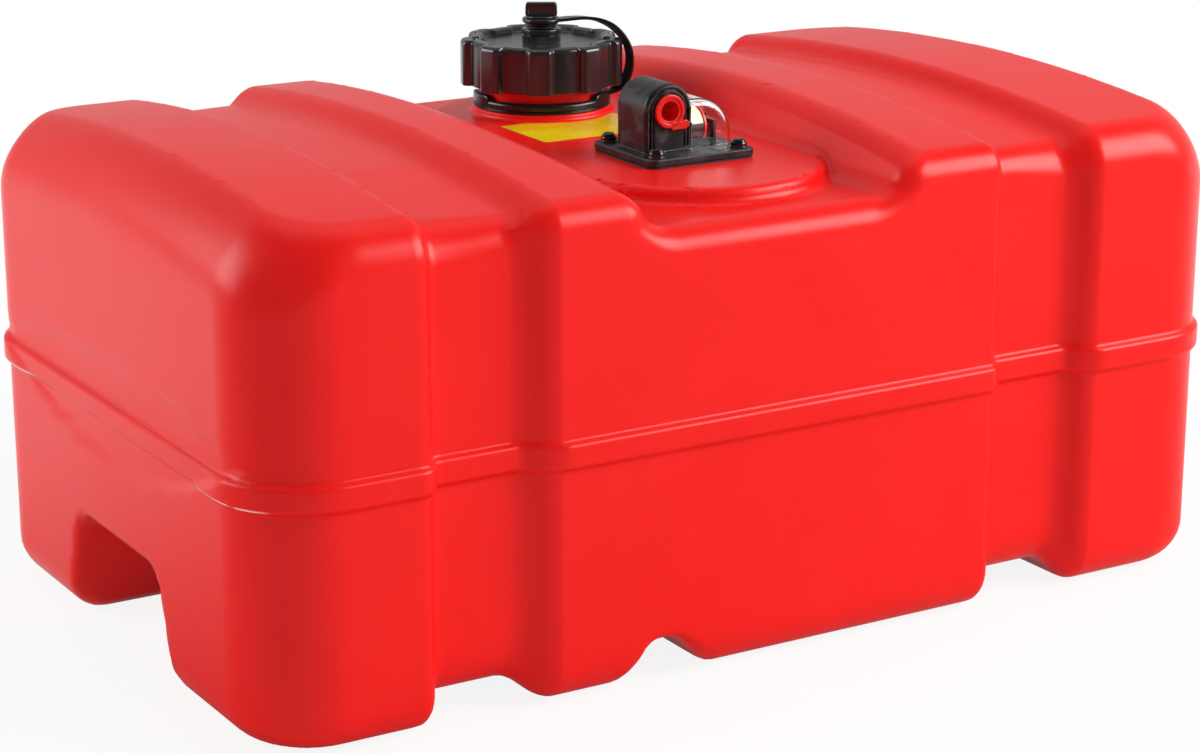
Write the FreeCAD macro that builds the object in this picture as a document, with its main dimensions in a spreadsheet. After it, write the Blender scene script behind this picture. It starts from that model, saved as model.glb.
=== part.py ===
import FreeCAD, Part
import Sketcher
import math
import os
import re

# Portable outboard fuel tank: a hollow blow-moulded shell with a screw filler cap, a vent screw on
# its tether, and a fuel gauge whose float lever turns a drum under a clear cover.
#
# Frame: millimetres, +X along the tank's length, +Y across it, +Z up. The origin is at the middle of
# the floor under the tank. The filler stands at +Y, the gauge unit at -Y, both on the raised pad.

doc = FreeCAD.newDocument("FuelTank")
sheet = doc.addObject("Spreadsheet::Sheet", "Sizes")

SIZES = [
    # blow-moulded tank
    ("tank_length", 584, "end to end, over the parting bead"),
    ("tank_width", 360, "side to side, over the parting bead"),
    ("bead_proud", 3, "how far the parting bead stands out"),
    ("bead_bottom", 122, "underside of the parting bead"),
    ("bead_height", 13.5, "height of the parting bead"),
    ("bead_bevel", 2.2, "sloped edges of the parting bead"),
    ("wall", 4.5, "moulded wall thickness"),
    ("corner_radius", 45, "upright corners of the tank"),
    ("top_height", 263, "highest line of the crowned top"),
    ("crown_radius", 1250, "arch of the top across the tank"),
    ("top_radius", 28, "rounding between top and sides"),
    ("bottom_radius", 22, "rounding between bottom and sides"),
    ("groove_side_depth", 12, "bands sunk into the sides"),
    ("groove_top_depth", 8.5, "bands sunk into the top"),
    ("groove_bottom_depth", 12, "bands raised off the floor"),
    ("near_groove_start", -199, "band by the near end block"),
    ("near_groove_end", -138, "the same band, its other side"),
    ("far_groove_start", 131, "band by the far end block"),
    ("far_groove_end", 189, "the same band, its other side"),
    ("crisp_edge", 3.5, "rounding of a band's tight edge"),
    ("soft_edge", 7, "rounding of a band's soft edge"),
    ("well_depth", 31, "well between the ribs, below the highest line"),
    ("deck_radius", 22, "rounding along the front of the well"),
    ("well_start", -76, "foot of the well's wall, near side"),
    ("well_end", 64, "foot of the well's wall, far side"),
    ("well_slope", 30, "how far each well wall leans"),
    ("rib_edge", 12, "rounding along the two ribs"),
    # hand holds and strap notch in the underside
    ("hold_bottom_width", 132, "hand hold, width at the floor"),
    ("hold_top_width", 98, "hand hold, width at its roof"),
    ("hold_height", 61, "hand hold, height of its roof"),
    ("hold_depth", 72, "hand hold, depth into the tank"),
    ("notch_start", -93, "strap notch at the floor, near side"),
    ("notch_end", -40, "strap notch at the floor, far side"),
    ("notch_roof_start", -79, "strap notch roof, near side"),
    ("notch_roof_end", -63, "strap notch roof, far side"),
    ("notch_height", 24, "strap notch, height of its roof"),
    # raised pad that carries the fittings
    ("pad_rise", 8.5, "pad above the well's floor"),
    ("pad_length", 280, "pad, across the tank"),
    ("pad_width", 136, "pad, along the tank"),
    ("pad_middle", -8, "pad's middle, across the tank"),
    ("pad_radius", 8, "rounding round the pad"),
    ("fitting_line", 4, "line along which both fittings stand"),
    # filler neck and cap
    ("filler_place", 75, "filler axis, across the tank"),
    ("neck_radius", 33.5, "outside of the filler neck"),
    ("neck_bore", 29, "inside of the filler neck"),
    ("neck_rise", 34.5, "rim of the filler neck above the pad"),
    ("cap_radius", 45, "over the grip lobes"),
    ("cap_waist", 40.8, "between the grip lobes"),
    ("cap_lift", 15.8, "lower edge of the cap above the pad"),
    ("cap_crown", 6.5, "top face of the cap above the neck's rim"),
    ("cap_rounding", 3, "rounding of the lobes at the top"),
    ("cap_fit", 0.4, "gap between neck and cap skirt"),
    ("lobe_count", 9, "grip lobes round the cap"),
    ("lobe_angle", 19, "width of a lobe in degrees"),
    ("lobe_turn", 239, "direction of the first lobe in degrees"),
    ("gasket_thickness", 2.5, "cap gasket"),
    ("boss_radius", 10.8, "boss in the middle of the cap"),
    ("boss_height", 5, "height of that boss"),
    # vent screw and tether
    ("stem_radius", 5.8, "vent screw stem"),
    ("stem_fit", 0.08, "gap round the vent stem in its bore"),
    ("stem_depth", 6.5, "stem below the boss face"),
    ("vent_hole", 1.5, "air hole under the vent screw"),
    ("vent_gap", 2, "boss face to the vent screw's disc"),
    ("disc_radius", 9, "vent screw's disc"),
    ("disc_thickness", 1, "the same disc"),
    ("seal_section", 0.9, "radius of the vent seal's cord"),
    ("eye_lift", 1.8, "free height under the tether eye"),
    ("eye_thickness", 2.5, "tether eye round the stem"),
    ("eye_radius", 10.4, "outside of the tether eye"),
    ("eye_fit", 0.5, "gap between eye and stem"),
    ("tab_width", 17.8, "thumb tab of the vent screw"),
    ("tab_height", 8.3, "the same tab"),
    ("tab_thickness", 4.6, "the same tab"),
    ("rest_gap", 0.2, "free play between loose neighbours"),
    ("collar_radius", 38, "tether collar on the neck, outside"),
    ("collar_thickness", 4.3, "the same collar"),
    ("collar_fit", 0.3, "gap between collar and neck"),
    ("strap_width", 9, "tether strap"),
    ("strap_thickness", 1.8, "tether strap"),
    ("strap_reach", 5, "how far the strap swings out past the cap"),
    ("view_turn", 31, "direction of the strap and the thumb tab in degrees"),
    # gauge and withdrawal unit
    ("gauge_place", -62, "gauge middle, across the tank"),
    ("flange_length", 65, "flange, along the tank"),
    ("flange_width", 60, "flange, across the tank"),
    ("flange_thickness", 4, "flange"),
    ("flange_corner", 6, "flange's corner rounding"),
    ("seal_thickness", 1, "flange gasket"),
    ("seal_inset", 0.4, "gasket edge inside the flange edge"),
    ("screw_pitch_long", 50, "screw spacing along the tank"),
    ("screw_pitch_wide", 47, "screw spacing across the tank"),
    ("screw_radius", 1.95, "gauge screw shank"),
    ("screw_fit", 0.25, "gap round a shank in the flange"),
    ("screw_length", 12, "gauge screw shank"),
    ("head_radius", 4.8, "gauge screw head"),
    ("head_height", 3.6, "gauge screw head"),
    ("insert_radius", 3, "brass insert"),
    ("insert_length", 8, "brass insert"),
    ("insert_boss", 4.6, "moulded boss round an insert"),
    ("mouth_length", 48, "opening under the flange, along the tank"),
    ("mouth_width", 40, "opening under the flange, across the tank"),
    ("mouth_corner", 5, "that opening's corner rounding"),
    ("block_start", -26, "port block's near face, from the fitting line"),
    ("block_width", 28, "port block, along the tank"),
    ("block_depth", 29, "port block, across the tank"),
    ("port_height", 21, "port axis above the flange"),
    ("port_radius", 6.6, "port bore"),
    ("port_depth", 20, "port bore"),
    ("passage_radius", 3, "fuel passage inside the block"),
    ("plug_rim", 8.8, "port plug's rim"),
    ("plug_rim_thickness", 1.8, "port plug's rim"),
    ("plug_wall", 1.2, "port plug's wall"),
    ("plug_length", 12, "port plug inside the bore"),
    ("plug_fit", 0.1, "gap round the plug"),
    ("lens_length", 26, "clear cover, along the tank"),
    ("lens_width", 27, "clear cover, across the tank"),
    ("lens_height", 25, "clear cover above the flange"),
    ("lens_bend", 21, "bend of the clear cover"),
    ("lens_wall", 1.5, "clear cover's wall"),
    # gauge movement
    ("drum_height", 9, "drum axis above the flange"),
    ("drum_radius", 10, "indicator drum"),
    ("drum_start", 4.2, "drum's near face, from the fitting line"),
    ("drum_width", 8, "indicator drum"),
    ("rim_thickness", 1, "raised rim at the drum's far end"),
    ("rim_proud", 0.8, "how far that rim stands out"),
    ("gear_module", 1, "tooth size of the movement"),
    ("pinion_teeth", 16, "teeth on the drum's pinion"),
    ("sector_teeth", 40, "teeth of the sector's full circle"),
    ("sector_cut", 11, "teeth that the sector has"),
    ("sector_lead", 1, "sector teeth past the mesh at empty"),
    ("gear_width", 3, "sector's thickness"),
    ("tooth_play", 0.12, "gap left at each tooth flank"),
    ("pin_radius", 1.5, "both pins of the movement"),
    ("pin_fit", 0.05, "gap round a pin in a turning piece"),
    ("cheek_thickness", 1.5, "bracket cheeks"),
    ("hub_radius", 4.5, "sector hub"),
    ("float_clearance", 11.8148, "under the float when the tank is empty"),
    ("arm_rest", 75, "slope of the arm when empty, in degrees"),
    ("wire_radius", 1.5, "float arm wire"),
    ("float_radius", 17, "float"),
    ("float_length", 42, "float"),
    ("tube_radius", 4, "pickup tube"),
    ("tube_end", 26, "lower end of the pickup tube"),
    ("strainer_radius", 7, "pickup strainer"),
    ("strainer_length", 24, "pickup strainer"),
    ("side_play", 0.3, "side play between pieces of the movement"),
    ("cheek_front", 11.5, "bracket cheeks in front of the pins"),
    ("cheek_back", 6, "bracket cheeks behind the pins"),
    ("foot_length", 6, "bracket foot"),
    ("window_width", 24, "flange window over the movement"),
    ("pocket_width", 31, "relief under the flange for the sector"),
    ("pocket_depth", 2.6, "the same relief"),
    ("socket_depth", 7, "socket for the pickup tube"),
    ("block_edge", 1.5, "rounding round the port block's faces"),
    ("arm_socket_length", 14, "sector's socket for the arm, from the pivot"),
    ("elbow_radius", 6, "bend of the float arm"),
    ("clip_thickness", 0.8, "clips beside the float"),
    ("plug_tab_turn", 42, "direction of the plug's pull tab in degrees"),
    # label
    ("label_shift", -6, "label middle beside the fitting line"),
    ("label_length", 72, "label, along the tank"),
    ("label_width", 52, "label, across the tank"),
    ("label_place", 13.5, "label middle, across the tank"),
    ("label_thickness", 0.3, "label"),
]

for row, (alias, value, note) in enumerate(SIZES, start=1):
    sheet.set("A%d" % row, note)
    sheet.set("B%d" % row, str(value))
    sheet.setAlias("B%d" % row, alias)
doc.recompute()
ALIASES = {alias for alias, value, note in SIZES}

# heights worked out from the sizes, under the names that the expressions use
HEIGHTS = {
    "deck_height": "top_height - well_depth",
    "pad_height": "top_height - well_depth + pad_rise",
    "neck_height": "top_height - well_depth + pad_rise + neck_rise",
    "cap_bottom": "top_height - well_depth + pad_rise + cap_lift",
    "cap_top": "top_height - well_depth + pad_rise + neck_rise + cap_crown",
}

X = FreeCAD.Vector(1, 0, 0)
Y = FreeCAD.Vector(0, 1, 0)
Z = FreeCAD.Vector(0, 0, 1)
ALONG = {
    "X": FreeCAD.Rotation(Z, X),
    "Y": FreeCAD.Rotation(Z, Y),
    "-Y": FreeCAD.Rotation(Z, Y * -1),
    "Z": FreeCAD.Rotation(),
}


# ---------------------------------------------------------------- expressions and small builders
def qualified(text):
    """The expression with each worked-out height in full and each size as a cell of the sheet."""
    for height, meaning in HEIGHTS.items():
        text = re.sub(r"\b%s\b" % height, "(%s)" % meaning, text)
    return re.sub(r"[a-z_]+", lambda m: "Sizes." + m.group() if m.group() in ALIASES else m.group(), text)


def number(text):
    """The value of an expression of sizes."""
    return float(sheet.evalExpression(qualified(text)))


def bind(thing, **expressions):
    """Tie properties to expressions; a dot in a property's path is written as two underscores."""
    for path, text in expressions.items():
        thing.setExpression(path.replace("__", "."), qualified(text))
    return thing


def place(thing, x, y, z, along="Z"):
    """Put an object at three expressions, with its own Z axis along X, Y or Z."""
    thing.Placement = FreeCAD.Placement(FreeCAD.Vector(), ALONG[along])
    return bind(thing, Placement__Base__x=x, Placement__Base__y=y, Placement__Base__z=z)


def box(name, x, y, z):
    """A box between pairs of expressions along X, Y and Z."""
    block = doc.addObject("Part::Box", name)
    bind(block, Length="(%s) - (%s)" % (x[1], x[0]), Width="(%s) - (%s)" % (y[1], y[0]),
         Height="(%s) - (%s)" % (z[1], z[0]))
    return place(block, x[0], y[0], z[0])


def cylinder(name, radius, height, at, along="Z"):
    """A cylinder that starts at a point and runs along an axis."""
    rod = doc.addObject("Part::Cylinder", name)
    bind(rod, Radius=radius, Height=height)
    return place(rod, at[0], at[1], at[2], along)


def fuse(name, pieces):
    joined = doc.addObject("Part::MultiFuse", name)
    joined.Shapes = pieces
    joined.Refine = True
    return joined


def common(name, pieces):
    shared = doc.addObject("Part::MultiCommon", name)
    shared.Shapes = pieces
    shared.Refine = True
    return shared


def cut(name, base, tool):
    rest = doc.addObject("Part::Cut", name)
    rest.Base = base
    rest.Tool = tool
    rest.Refine = True
    return rest


def fillet(name, base, wanted, radius):
    """Round the edges of an object that a test picks out."""
    doc.recompute()
    size = number(radius)
    rounded = doc.addObject("Part::Fillet", name)
    rounded.Base = base
    rounded.Edges = [(i, size, size) for i, edge in enumerate(base.Shape.Edges, start=1) if wanted(edge)]
    return rounded


def chamfer(name, base, wanted, size):
    """Bevel the edges of an object that a test picks out."""
    doc.recompute()
    width = number(size)
    bevelled = doc.addObject("Part::Chamfer", name)
    bevelled.Base = base
    bevelled.Edges = [(i, width, width) for i, edge in enumerate(base.Shape.Edges, start=1) if wanted(edge)]
    return bevelled


def draw_polygon(sketch, corners):
    """A closed polygon whose corners are tied to pairs of expressions."""
    points = [FreeCAD.Vector(number(u), number(v), 0) for u, v in corners]
    count = len(points)
    for i in range(count):
        sketch.addGeometry(Part.LineSegment(points[i], points[(i + 1) % count]), False)
    for i in range(count):
        sketch.addConstraint(Sketcher.Constraint("Coincident", i, 2, (i + 1) % count, 1))
    for i, (u, v) in enumerate(corners):
        across = sketch.addConstraint(Sketcher.Constraint("DistanceX", -1, 1, i, 1, points[i].x))
        sketch.setExpression("Constraints[%d]" % across, qualified(u))
        up = sketch.addConstraint(Sketcher.Constraint("DistanceY", -1, 1, i, 1, points[i].y))
        sketch.setExpression("Constraints[%d]" % up, qualified(v))


def sketch_on(body, role, corners):
    """A polygon sketch on one of a body's own origin planes."""
    sketch = body.newObject("Sketcher::SketchObject", body.Name + "_outline")
    sketch.AttachmentSupport = [(origin_part(body, role), "")]
    sketch.MapMode = "FlatFace"
    draw_polygon(sketch, corners)
    return sketch


def prism(name, corners, plane, start, end):
    """A polygon of (u, v) expressions padded between two stations along the plane's normal."""
    body = doc.addObject("PartDesign::Body", name)
    pad = body.newObject("PartDesign::Pad", name + "_pad")
    pad.Profile = sketch_on(body, plane + "_Plane", corners)
    bind(pad, Length="(%s) - (%s)" % (end, start))
    # the sketch of the XZ plane faces -Y, so its pad is turned round to run along +Y
    pad.Reversed = plane == "XZ"
    axis = {"XZ": "y", "YZ": "x", "XY": "z"}[plane]
    return bind(body, **{"Placement__Base__" + axis: start})


def turned(name, profile, at, along="Z"):
    """A body turned about its own Z axis from (radius, height) expressions, standing at a point."""
    body = doc.addObject("PartDesign::Body", name)
    turn = body.newObject("PartDesign::Revolution", name + "_turn")
    turn.Profile = sketch_on(body, "XZ_Plane", profile)
    turn.ReferenceAxis = (origin_part(body, "Z_Axis"), [""])
    turn.Angle = 360
    return place(body, at[0], at[1], at[2], along)


def origin_part(body, role):
    return next(f for f in body.Origin.OriginFeatures if f.Role == role)


def tube(name, outside, inside, height, at, along="Z"):
    """A plain tube that starts at a point and runs along an axis."""
    return turned(name, [(inside, "0"), (outside, "0"), (outside, height), (inside, height)], at, along)


def turn_about_z(thing, degrees):
    """Turn an object about its own Z axis, where it stands."""
    thing.Placement = FreeCAD.Placement(thing.Placement.Base, FreeCAD.Rotation(Z, degrees))
    return thing


def vertical(edge):
    return edge.BoundBox.XLength < 0.01 and edge.BoundBox.YLength < 0.01


def runs_along_x(edge):
    return edge.BoundBox.YLength < 0.01 and edge.BoundBox.ZLength < 0.01


def runs_along_y(edge):
    return edge.BoundBox.XLength < 0.01 and edge.BoundBox.ZLength < 0.01


def at_x(station):
    """A test for the edges that lie in the plane of one X station."""
    spot = number(station)
    return lambda edge: edge.BoundBox.XLength < 0.01 and abs(edge.BoundBox.XMin - spot) < 0.01


# ---------------------------------------------------------------- tank shell
def crowned(name, block, drop, inset):
    """A block with its top arched across the tank, concentric with the tank's own crown."""
    crown = cylinder(name + "_crown", "crown_radius - (%s) - (%s)" % (drop, inset), "tank_length",
                     ("-tank_length / 2", "0", "top_height - crown_radius"), "X")
    return common(name, [block, crown])


def hull(name, inset):
    """The whole tank as one rounded box with a crowned top, moved inwards by an inset."""
    half_x = "tank_length / 2 - bead_proud - (%s)" % inset
    half_y = "tank_width / 2 - bead_proud - (%s)" % inset
    block = box(name + "_block", ("-(%s)" % half_x, half_x), ("-(%s)" % half_y, half_y),
                (inset, "top_height"))
    upright = fillet(name + "_corners", block, vertical, "corner_radius - (%s)" % inset)
    arched = crowned(name + "_arched", upright, "0", inset)
    low = number(inset) + 0.01
    rim = number("top_height - groove_top_depth - (%s)" % inset) - 12
    soft_top = fillet(name + "_top", arched, lambda e: e.BoundBox.ZMin > rim, "top_radius - (%s)" % inset)
    return fillet(name, soft_top, lambda e: e.BoundBox.ZMax < low, "bottom_radius - (%s)" % inset)


def core(name, inset):
    """The band-deep body that joins the three blocks."""
    half_y = "tank_width / 2 - bead_proud - groove_side_depth - (%s)" % inset
    block = box(name + "_block", ("near_groove_start - 20", "far_groove_end + 20"),
                ("-(%s)" % half_y, half_y), ("groove_bottom_depth + (%s)" % inset, "top_height"))
    arched = crowned(name + "_arched", block, "groove_top_depth", inset)
    low = number("groove_bottom_depth + (%s)" % inset) + 0.01
    soft_top = fillet(name + "_top", arched, lambda e: runs_along_x(e) and e.BoundBox.ZMin > low,
                      "top_radius - 5 - (%s)" % inset)
    return fillet(name, soft_top, lambda e: runs_along_x(e) and e.BoundBox.ZMax < low,
                  "bottom_radius - 5 - (%s)" % inset)


def slab(name, start, end):
    return box(name, (start, end), ("-tank_width", "tank_width"), ("-10", "top_height + 10"))


def deck(name, inset):
    """The middle block below the well, with its long edges rounded."""
    half_y = "tank_width / 2 - bead_proud - (%s)" % inset
    block = box(name + "_block", ("near_groove_end", "far_groove_start"), ("-(%s)" % half_y, half_y),
                ("-10", "deck_height - (%s)" % inset))
    high = number("deck_height - (%s)" % inset) - 0.01
    return fillet(name, block, lambda e: runs_along_x(e) and e.BoundBox.ZMin > high,
                  "deck_radius - (%s)" % inset)


def pad_form(name, inset):
    """The oblong pad with round ends that stands on the well's floor."""
    half = "pad_width / 2 - (%s)" % inset
    reach = "pad_length / 2 - (%s)" % inset
    block = box(name + "_block", ("fitting_line - (%s)" % half, "fitting_line + %s" % half),
                ("pad_middle - (%s)" % reach, "pad_middle + %s" % reach),
                ("deck_height - deck_radius - 8", "pad_height - (%s)" % inset))
    ends = fillet(name + "_ends", block, vertical, "(%s) - 1" % half)
    high = number("pad_height - (%s)" % inset) - 0.01
    return fillet(name, ends, lambda e: e.BoundBox.ZMin > high, "pad_radius - (%s) / 2" % inset)


def tank_form(name, inset):
    """The tank's outer form, or the same form moved inwards by the wall."""
    whole = hull(name + "_hull", inset)
    near_slab = slab(name + "_near_slab", "-tank_length", "near_groove_start - (%s)" % inset)
    middle_slab = slab(name + "_middle_slab", "near_groove_end + (%s)" % inset,
                       "far_groove_start - (%s)" % inset)
    far_slab = slab(name + "_far_slab", "far_groove_end + (%s)" % inset, "tank_length")
    near = common(name + "_near_raw", [whole, near_slab])
    middle = common(name + "_middle_raw", [whole, middle_slab])
    far = common(name + "_far_raw", [whole, far_slab])
    if inset == "0":
        near = fillet(name + "_near", near, at_x("near_groove_start"), "crisp_edge")
        middle = fillet(name + "_middle_soft", middle, at_x("near_groove_end"), "soft_edge")
        middle = fillet(name + "_middle", middle, at_x("far_groove_start"), "crisp_edge")
        far = fillet(name + "_far", far, at_x("far_groove_end"), "soft_edge")
    well = prism(name + "_well",
                 [("well_start - (%s)" % inset, "deck_height - deck_radius - 1"),
                  ("well_end + (%s)" % inset, "deck_height - deck_radius - 1"),
                  ("well_end + (%s)" % inset, "deck_height - (%s)" % inset),
                  ("well_end + well_slope + (%s)" % inset, "top_height + 1"),
                  ("well_start - well_slope - (%s)" % inset, "top_height + 1"),
                  ("well_start - (%s)" % inset, "deck_height - (%s)" % inset)],
                 "XZ", "-tank_width", "tank_width")
    open_well = cut(name + "_open_well", well, deck(name + "_deck", inset))
    ribbed = cut(name + "_ribbed", middle, open_well)
    if inset == "0":
        ribbed = fillet(name + "_ribs", ribbed, inner_rib_edge, "rib_edge")
    open_core = cut(name + "_open_core", core(name + "_core", inset), open_well)
    return [open_core, near, ribbed, far, pad_form(name + "_pad", inset)]


def inner_rib_edge(edge):
    """The long line where a rib's top meets the well's sloping wall."""
    middle = (edge.BoundBox.XMin + edge.BoundBox.XMax) / 2
    inside = number("well_start - well_slope") - 2 < middle < number("well_end + well_slope") + 2
    high = edge.BoundBox.ZMin > number("deck_height") + 10
    return inside and high and edge.BoundBox.YLength > number("tank_width") / 2


def bead_plate(name, start, end, half_y, edge, wraps_end=False):
    """A bevelled strip of the parting bead round one block; at a tank end it follows the big corners."""
    plate = box(name + "_plate", (start, end), ("-(%s)" % half_y, half_y),
                ("bead_bottom", "bead_bottom + bead_height"))
    far_out = number("tank_length / 2") - 1
    side = number(half_y) - 0.01
    upright = plate
    if wraps_end:
        upright = fillet(name + "_end", plate, lambda e: vertical(e) and abs(e.BoundBox.XMin) > far_out,
                         "corner_radius + bead_proud")
    upright = fillet(name + "_sides", upright, lambda e: vertical(e) and abs(e.BoundBox.YMin) > side, edge)
    return chamfer(name, upright, lambda e: e.BoundBox.ZLength < 0.01, "bead_bevel")


def parting_bead():
    """The raised line where the mould's halves met, run round all three blocks and across the bands."""
    half = "tank_width / 2"
    edge = "crisp_edge + bead_proud"
    return [
        bead_plate("bead_near", "-tank_length / 2", "near_groove_start + bead_proud", half, edge, True),
        bead_plate("bead_core", "near_groove_start - 5", "far_groove_end + 5",
                   "tank_width / 2 - groove_side_depth", "bead_proud"),
        bead_plate("bead_middle", "near_groove_end - bead_proud", "far_groove_start + bead_proud",
                   half, edge),
        bead_plate("bead_far", "far_groove_end - bead_proud", "tank_length / 2", half, edge, True),
    ]


def hand_hold(name, side, grow):
    """The channel sunk into the bottom of one short end; side is -1 or 1."""
    foot = "hold_bottom_width / 2 + (%s)" % grow
    roof = "hold_top_width / 2 + (%s)" % grow
    top = "hold_height + (%s)" % grow
    inner = "tank_length / 2 - bead_proud - hold_depth - (%s)" % grow
    start, end = ("-tank_length", "-(%s)" % inner) if side < 0 else (inner, "tank_length")
    profile = [("-(%s)" % foot, "-20"), ("-(%s)" % foot, "0"), ("-(%s)" % roof, top),
               (roof, top), (foot, "0"), (foot, "-20")]
    channel = prism(name + "_channel", profile, "YZ", start, end)
    return fillet(name, channel, lambda e: runs_along_x(e) and e.BoundBox.ZMin > 1, "bottom_radius / 2")


def strap_notch(name, grow):
    """The uneven notch that crosses the underside for a tie-down strap."""
    roof = "notch_height + (%s)" % grow
    profile = [("notch_start - (%s)" % grow, "-20"), ("notch_start - (%s)" % grow, "0"),
               ("notch_roof_start - (%s)" % grow, roof), ("notch_roof_end + (%s)" % grow, roof),
               ("notch_end + (%s)" % grow, "0"), ("notch_end + (%s)" % grow, "-20")]
    notch = prism(name + "_channel", profile, "XZ", "-tank_width", "tank_width")
    return fillet(name, notch, lambda e: e.BoundBox.ZMin > 1 and runs_along_y(e), "soft_edge / 2")


def screw_spots():
    """The four screw places of the gauge unit as pairs of expressions."""
    along = ["fitting_line - screw_pitch_long / 2", "fitting_line + screw_pitch_long / 2"]
    across = ["gauge_place - screw_pitch_wide / 2", "gauge_place + screw_pitch_wide / 2"]
    return [(x, y) for x in along for y in across]


def rounded_plate(name, x, y, z, corner):
    """A flat plate with rounded upright corners."""
    return fillet(name, box(name + "_blank", x, y, z), vertical, corner)


def around(middle, size):
    return "%s - (%s) / 2" % (middle, size), "%s + (%s) / 2" % (middle, size)


def tank_shell():
    """The moulded shell: the outer form less the same form a wall thickness in, with its openings."""
    neck = cylinder("neck_outside", "neck_radius", "neck_height - pad_height + wall",
                    ("fitting_line", "filler_place", "pad_height - wall"))
    outer = fuse("outer_form", tank_form("outer", "0") + parting_bead() + [neck])
    underside = [hand_hold("near_hold", -1, "0"), hand_hold("far_hold", 1, "0"), strap_notch("notch", "0")]
    outside = cut("outside_form", outer, fuse("underside_cuts", underside))
    inner = fuse("inner_form", tank_form("inner", "wall"))
    walls = [hand_hold("near_hold_wall", -1, "wall"), hand_hold("far_hold_wall", 1, "wall"),
             strap_notch("notch_wall", "wall")]
    hollow = cut("hollow_form", inner, fuse("hollow_stops", walls))
    bosses, pockets = [], []
    for i, (x, y) in enumerate(screw_spots()):
        bosses.append(cylinder("insert_boss_%d" % i, "insert_boss", "insert_length",
                               (x, y, "pad_height - insert_length - wall / 2")))
        pockets.append(cylinder("insert_pocket_%d" % i, "insert_radius", "insert_length + 1",
                                (x, y, "pad_height - insert_length")))
    shell = fuse("shell_with_bosses", [cut("bare_shell", outside, hollow)] + bosses)
    mouth = rounded_plate("gauge_mouth", around("fitting_line", "mouth_length"),
                          around("gauge_place", "mouth_width"),
                          ("pad_height - insert_length - wall", "pad_height + 1"), "mouth_corner")
    bore = cylinder("neck_passage", "neck_bore", "neck_height - pad_height + 2 * wall + 1",
                    ("fitting_line", "filler_place", "pad_height - 2 * wall"))
    return cut("tank_shell", shell, fuse("openings", [mouth, bore] + pockets))


# ---------------------------------------------------------------- filler cap, vent screw and tether
FILLER = ("fitting_line", "filler_place", "0")
BOSS_TOP = "cap_top + boss_height"
DISC = "cap_top + boss_height + vent_gap"
EYE = "cap_top + boss_height + vent_gap + disc_thickness + eye_lift"
TAB = "cap_top + boss_height + vent_gap + disc_thickness + eye_lift + eye_thickness + rest_gap"
COLLAR = "pad_height + label_thickness + rest_gap"


def lobed_form():
    """The cap's waist with its grip lobes, before the top edge is rounded."""
    body = doc.addObject("PartDesign::Body", "lobed_form")
    waist = body.newObject("PartDesign::AdditiveCylinder", "waist")
    bind(waist, Radius="cap_waist", Height="cap_top - cap_bottom")
    lobe = body.newObject("PartDesign::AdditiveBox", "lobe")
    chord = "2 * cap_radius * sin(lobe_angle / 2 * 1 deg)"
    bind(lobe, Length="cap_radius", Width=chord, Height="cap_top - cap_bottom",
         Placement__Base__y="-(%s) / 2" % chord)
    ring = body.newObject("PartDesign::PolarPattern", "lobe_ring")
    ring.Originals = [lobe]
    ring.Axis = (origin_part(body, "Z_Axis"), [""])
    ring.Angle = 360
    bind(ring, Occurrences="lobe_count")
    body.Tip = ring
    place(body, "fitting_line", "filler_place", "cap_bottom")
    return turn_about_z(body, number("lobe_turn"))


def far_from_filler(radius):
    """A test for upright edges that stand at least this far from the filler axis."""
    limit = number(radius)
    x, y = number("fitting_line"), number("filler_place")
    return lambda e: vertical(e) and math.hypot(e.BoundBox.XMin - x, e.BoundBox.YMin - y) > limit


def filler_cap():
    """Lobed cap: a skirt over the neck, a flat top and a boss bored for the vent screw."""
    envelope = turned("cap_envelope", [
        ("0", "cap_bottom"), ("cap_radius", "cap_bottom"), ("cap_radius", "cap_top - cap_rounding"),
        ("cap_radius - cap_rounding * 0.3", "cap_top - cap_rounding * 0.3"),
        ("cap_radius - cap_rounding", "cap_top"), ("0", "cap_top")], FILLER)
    soft = fillet("lobed_soft", lobed_form(), far_from_filler("cap_radius - 1"), "cap_rounding - 0.5")
    outside = fuse("cap_outside", [common("cap_lobed", [envelope, soft]), cylinder(
        "cap_boss", "boss_radius", "boss_height + 1", ("fitting_line", "filler_place", "cap_top - 1"))])
    inside = fuse("cap_inside", [
        cylinder("cap_skirt_bore", "neck_radius + cap_fit",
                 "neck_height + gasket_thickness - cap_bottom + 1",
                 ("fitting_line", "filler_place", "cap_bottom - 1")),
        cylinder("vent_bore", "stem_radius + stem_fit", "stem_depth + 1",
                 ("fitting_line", "filler_place", BOSS_TOP + " - stem_depth")),
        cylinder("vent_air_hole", "vent_hole", "20", ("fitting_line", "filler_place", "cap_bottom"))])
    return cut("filler_cap", outside, inside)


def cap_gasket():
    """Flat gasket between the neck's rim and the inside of the cap."""
    return tube("cap_gasket", "neck_radius", "neck_bore", "gasket_thickness",
                ("fitting_line", "filler_place", "neck_height"))


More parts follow.
